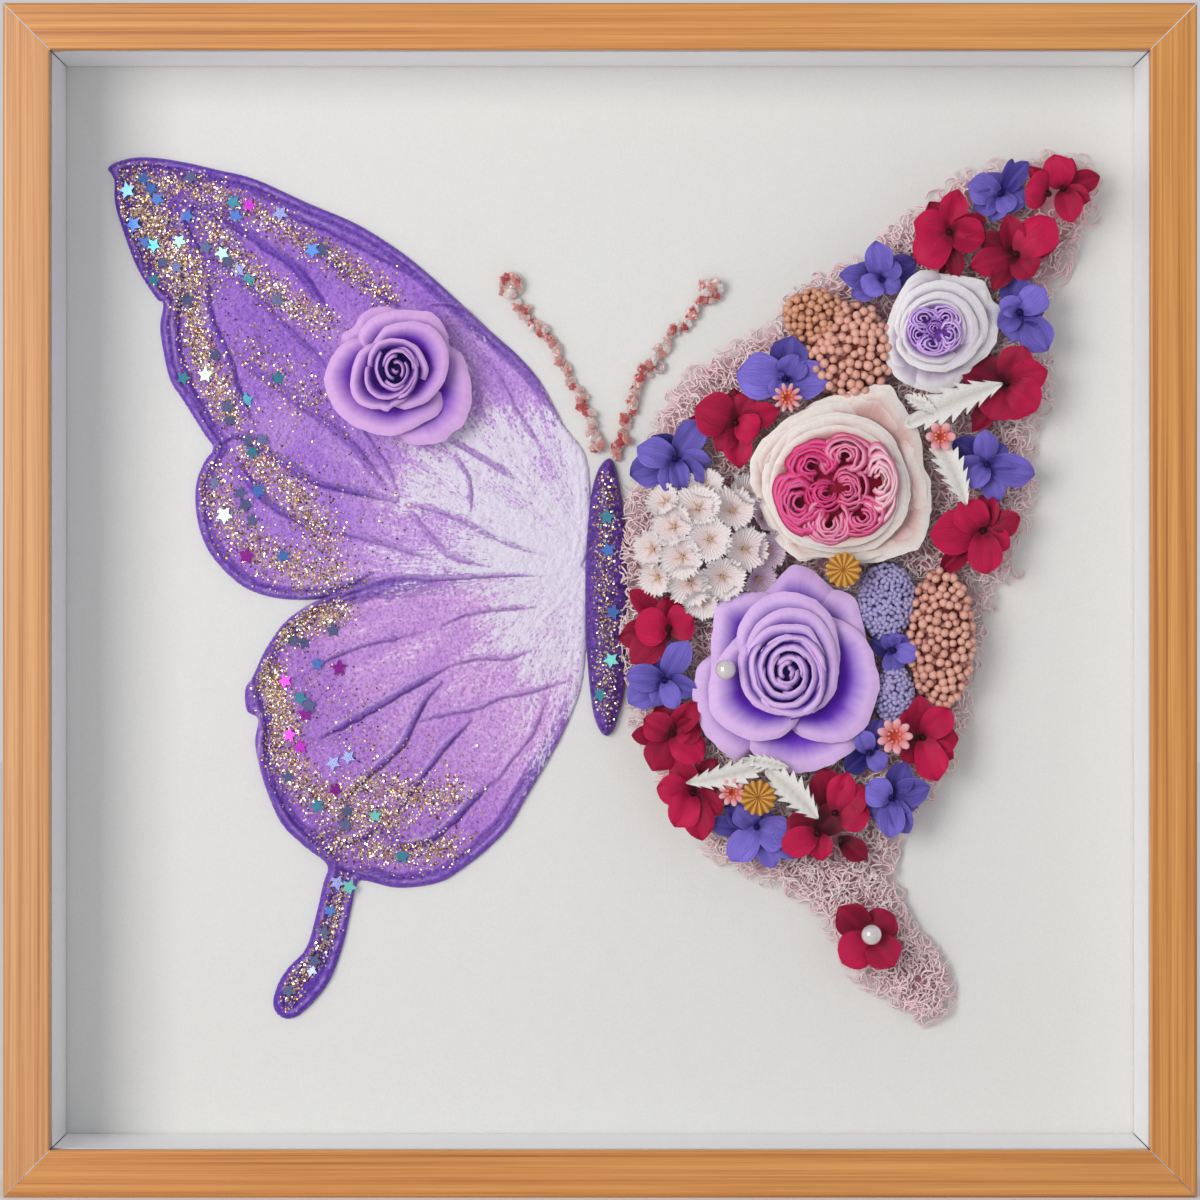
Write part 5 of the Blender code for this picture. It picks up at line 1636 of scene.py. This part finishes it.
def add_ring_bead(batch):
    """A loose ring bead lying on the board."""
    turn, around = np.meshgrid(np.arange(8) * math.pi / 4, np.arange(20) * math.pi / 10, indexing="ij")
    large, small = RING_RADII
    reach = large + small * np.cos(turn)
    ring = np.stack([reach * np.cos(around), reach * np.sin(around), small * np.sin(turn) + 2.2], -1) * SCALE
    ring = np.concatenate([ring, ring[:1]])
    batch.add(placed(ring, *RING_BEAD, 0.0006), grid_faces(9, 20, wrapped=True), linear((236, 208, 204)))


def make_antennas(looks):
    """Antennae of glued crystal chips, with a bunch at each tip."""
    rng = np.random.default_rng(61)
    shape, faces = ball(4, 6)
    for side, (path, tip) in ANTENNAS.items():
        spots = list(through(path, CHIPS_ALONG) + rng.normal(0, 2.4, (CHIPS_ALONG, 2)))
        spots += [np.array(tip) + rng.uniform(-9, 9, 2) for _ in range(CHIPS_AT_TIP)]
        batch = Batch()
        for index, (column, row) in enumerate(spots):
            radius = rng.uniform(*CHIP_RADIUS) * SCALE
            chip = shape * (1 + rng.normal(0, 0.11, (len(shape), 1)))
            chip = chip * (radius, radius * rng.uniform(0.6, 0.9), radius * 0.6)
            chip = turned(chip, rng.random() * 6, rng.uniform(0, 0.8), rng.random() * 6)
            level = radius * rng.uniform(0.6, 1.1) + (rng.uniform(0, 0.0016) if index >= CHIPS_ALONG else 0)
            batch.add(placed(chip, column, row, level), faces, linear(CHIP_TINTS[rng.integers(0, 5)]))
        if side == "right":
            add_ring_bead(batch)
        batch.piece(f"antenna_chips_{side}", looks["crystal"], "crystal", f"antenna_{side}", smooth=False)


# The CAD nodes that stay, by their material
NODE_LOOKS = {
    "oak_across": ("frame_rail_top", "frame_rail_bottom"),
    "oak_upright": ("frame_rail_right",),
    "oak_pale": ("frame_rail_left",),
    "pane": ("glass_pane",),
    "panel": ("back_panel",),
    "steel": ("panel_tab_left", "panel_tab_right", "sawtooth_hanger"),
    "spacer": ("spacer_top", "spacer_right", "spacer_bottom", "spacer_left"),
}


def dress_frame(looks):
    """Materials for the CAD nodes that stay."""
    for look, names in NODE_LOOKS.items():
        for name in names:
            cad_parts[name].material_slots[0].material = looks[look]


FLOOR_HALF = 3.0
SKY = (0.93, 0.95, 1.0, 1.0)
SKY_STRENGTH = 0.62
LAMP_SPOT = (-0.88, -1.28, 0.415)
LAMP_TARGET = (0, 0, 0.175)
LAMP_POWER = 14.5
LAMP_SIZE = 0.75
LAMP_TINT = (1.0, 0.98, 0.95)


def make_stage():
    """A pale floor, a soft key light from the left, a pale sky and the camera."""
    scene = bpy.context.scene
    floor = bpy.data.meshes.new("floor")
    corners = [(x * FLOOR_HALF, y * FLOOR_HALF, 0) for x, y in ((-1, -1), (1, -1), (1, 1), (-1, 1))]
    floor.from_pydata(corners, [], [(0, 1, 2, 3)])
    look, shader = new_look("floor", Roughness=0.8)
    pale = ramp(look, speckle(look, 3.0), (0.3, (236, 236, 236)), (0.7, (240, 240, 240)))
    link(look, shader.inputs["Base Color"], pale)
    floor.materials.append(look)
    ground = bpy.data.objects.new("floor", floor)
    scene.collection.objects.link(ground)
    scene.world = bpy.data.worlds.new("studio")
    scene.world.use_nodes = True
    sky = scene.world.node_tree.nodes["Background"].inputs
    sky["Color"].default_value = SKY
    sky["Strength"].default_value = SKY_STRENGTH
    key = bpy.data.lights.new("key", "AREA")
    key.energy = LAMP_POWER
    key.size = LAMP_SIZE
    key.color = LAMP_TINT
    lamp = bpy.data.objects.new("key", key)
    lamp.location = LAMP_SPOT
    scene.collection.objects.link(lamp)
    x, y, z = np.array(LAMP_TARGET) - np.array(lamp.location)
    lamp.rotation_euler = (math.acos(-z / math.hypot(x, y, z)), 0, math.atan2(y, x) - math.pi / 2)
    camera = bpy.data.cameras.new("camera")
    camera.lens = LENS
    camera.sensor_width = SENSOR
    eye = bpy.data.objects.new("camera", camera)
    eye.location = (0, FRONT - VIEW_DISTANCE, SIDE / 2)
    eye.rotation_euler = (math.pi / 2, 0, 0)
    scene.collection.objects.link(eye)
    scene.camera = eye
    scene.view_settings.view_transform = "Standard"


looks = make_looks()
make_stage()
dress_frame(looks)
make_board(looks)
make_painting(looks)
make_moss(looks)
make_roses(looks)
make_hydrangeas(looks)
make_berries(looks)
make_scabiosa(looks)
make_poppies(looks)
make_waxflowers(looks)
make_leaves_and_pearls(looks)
make_antennas(looks)
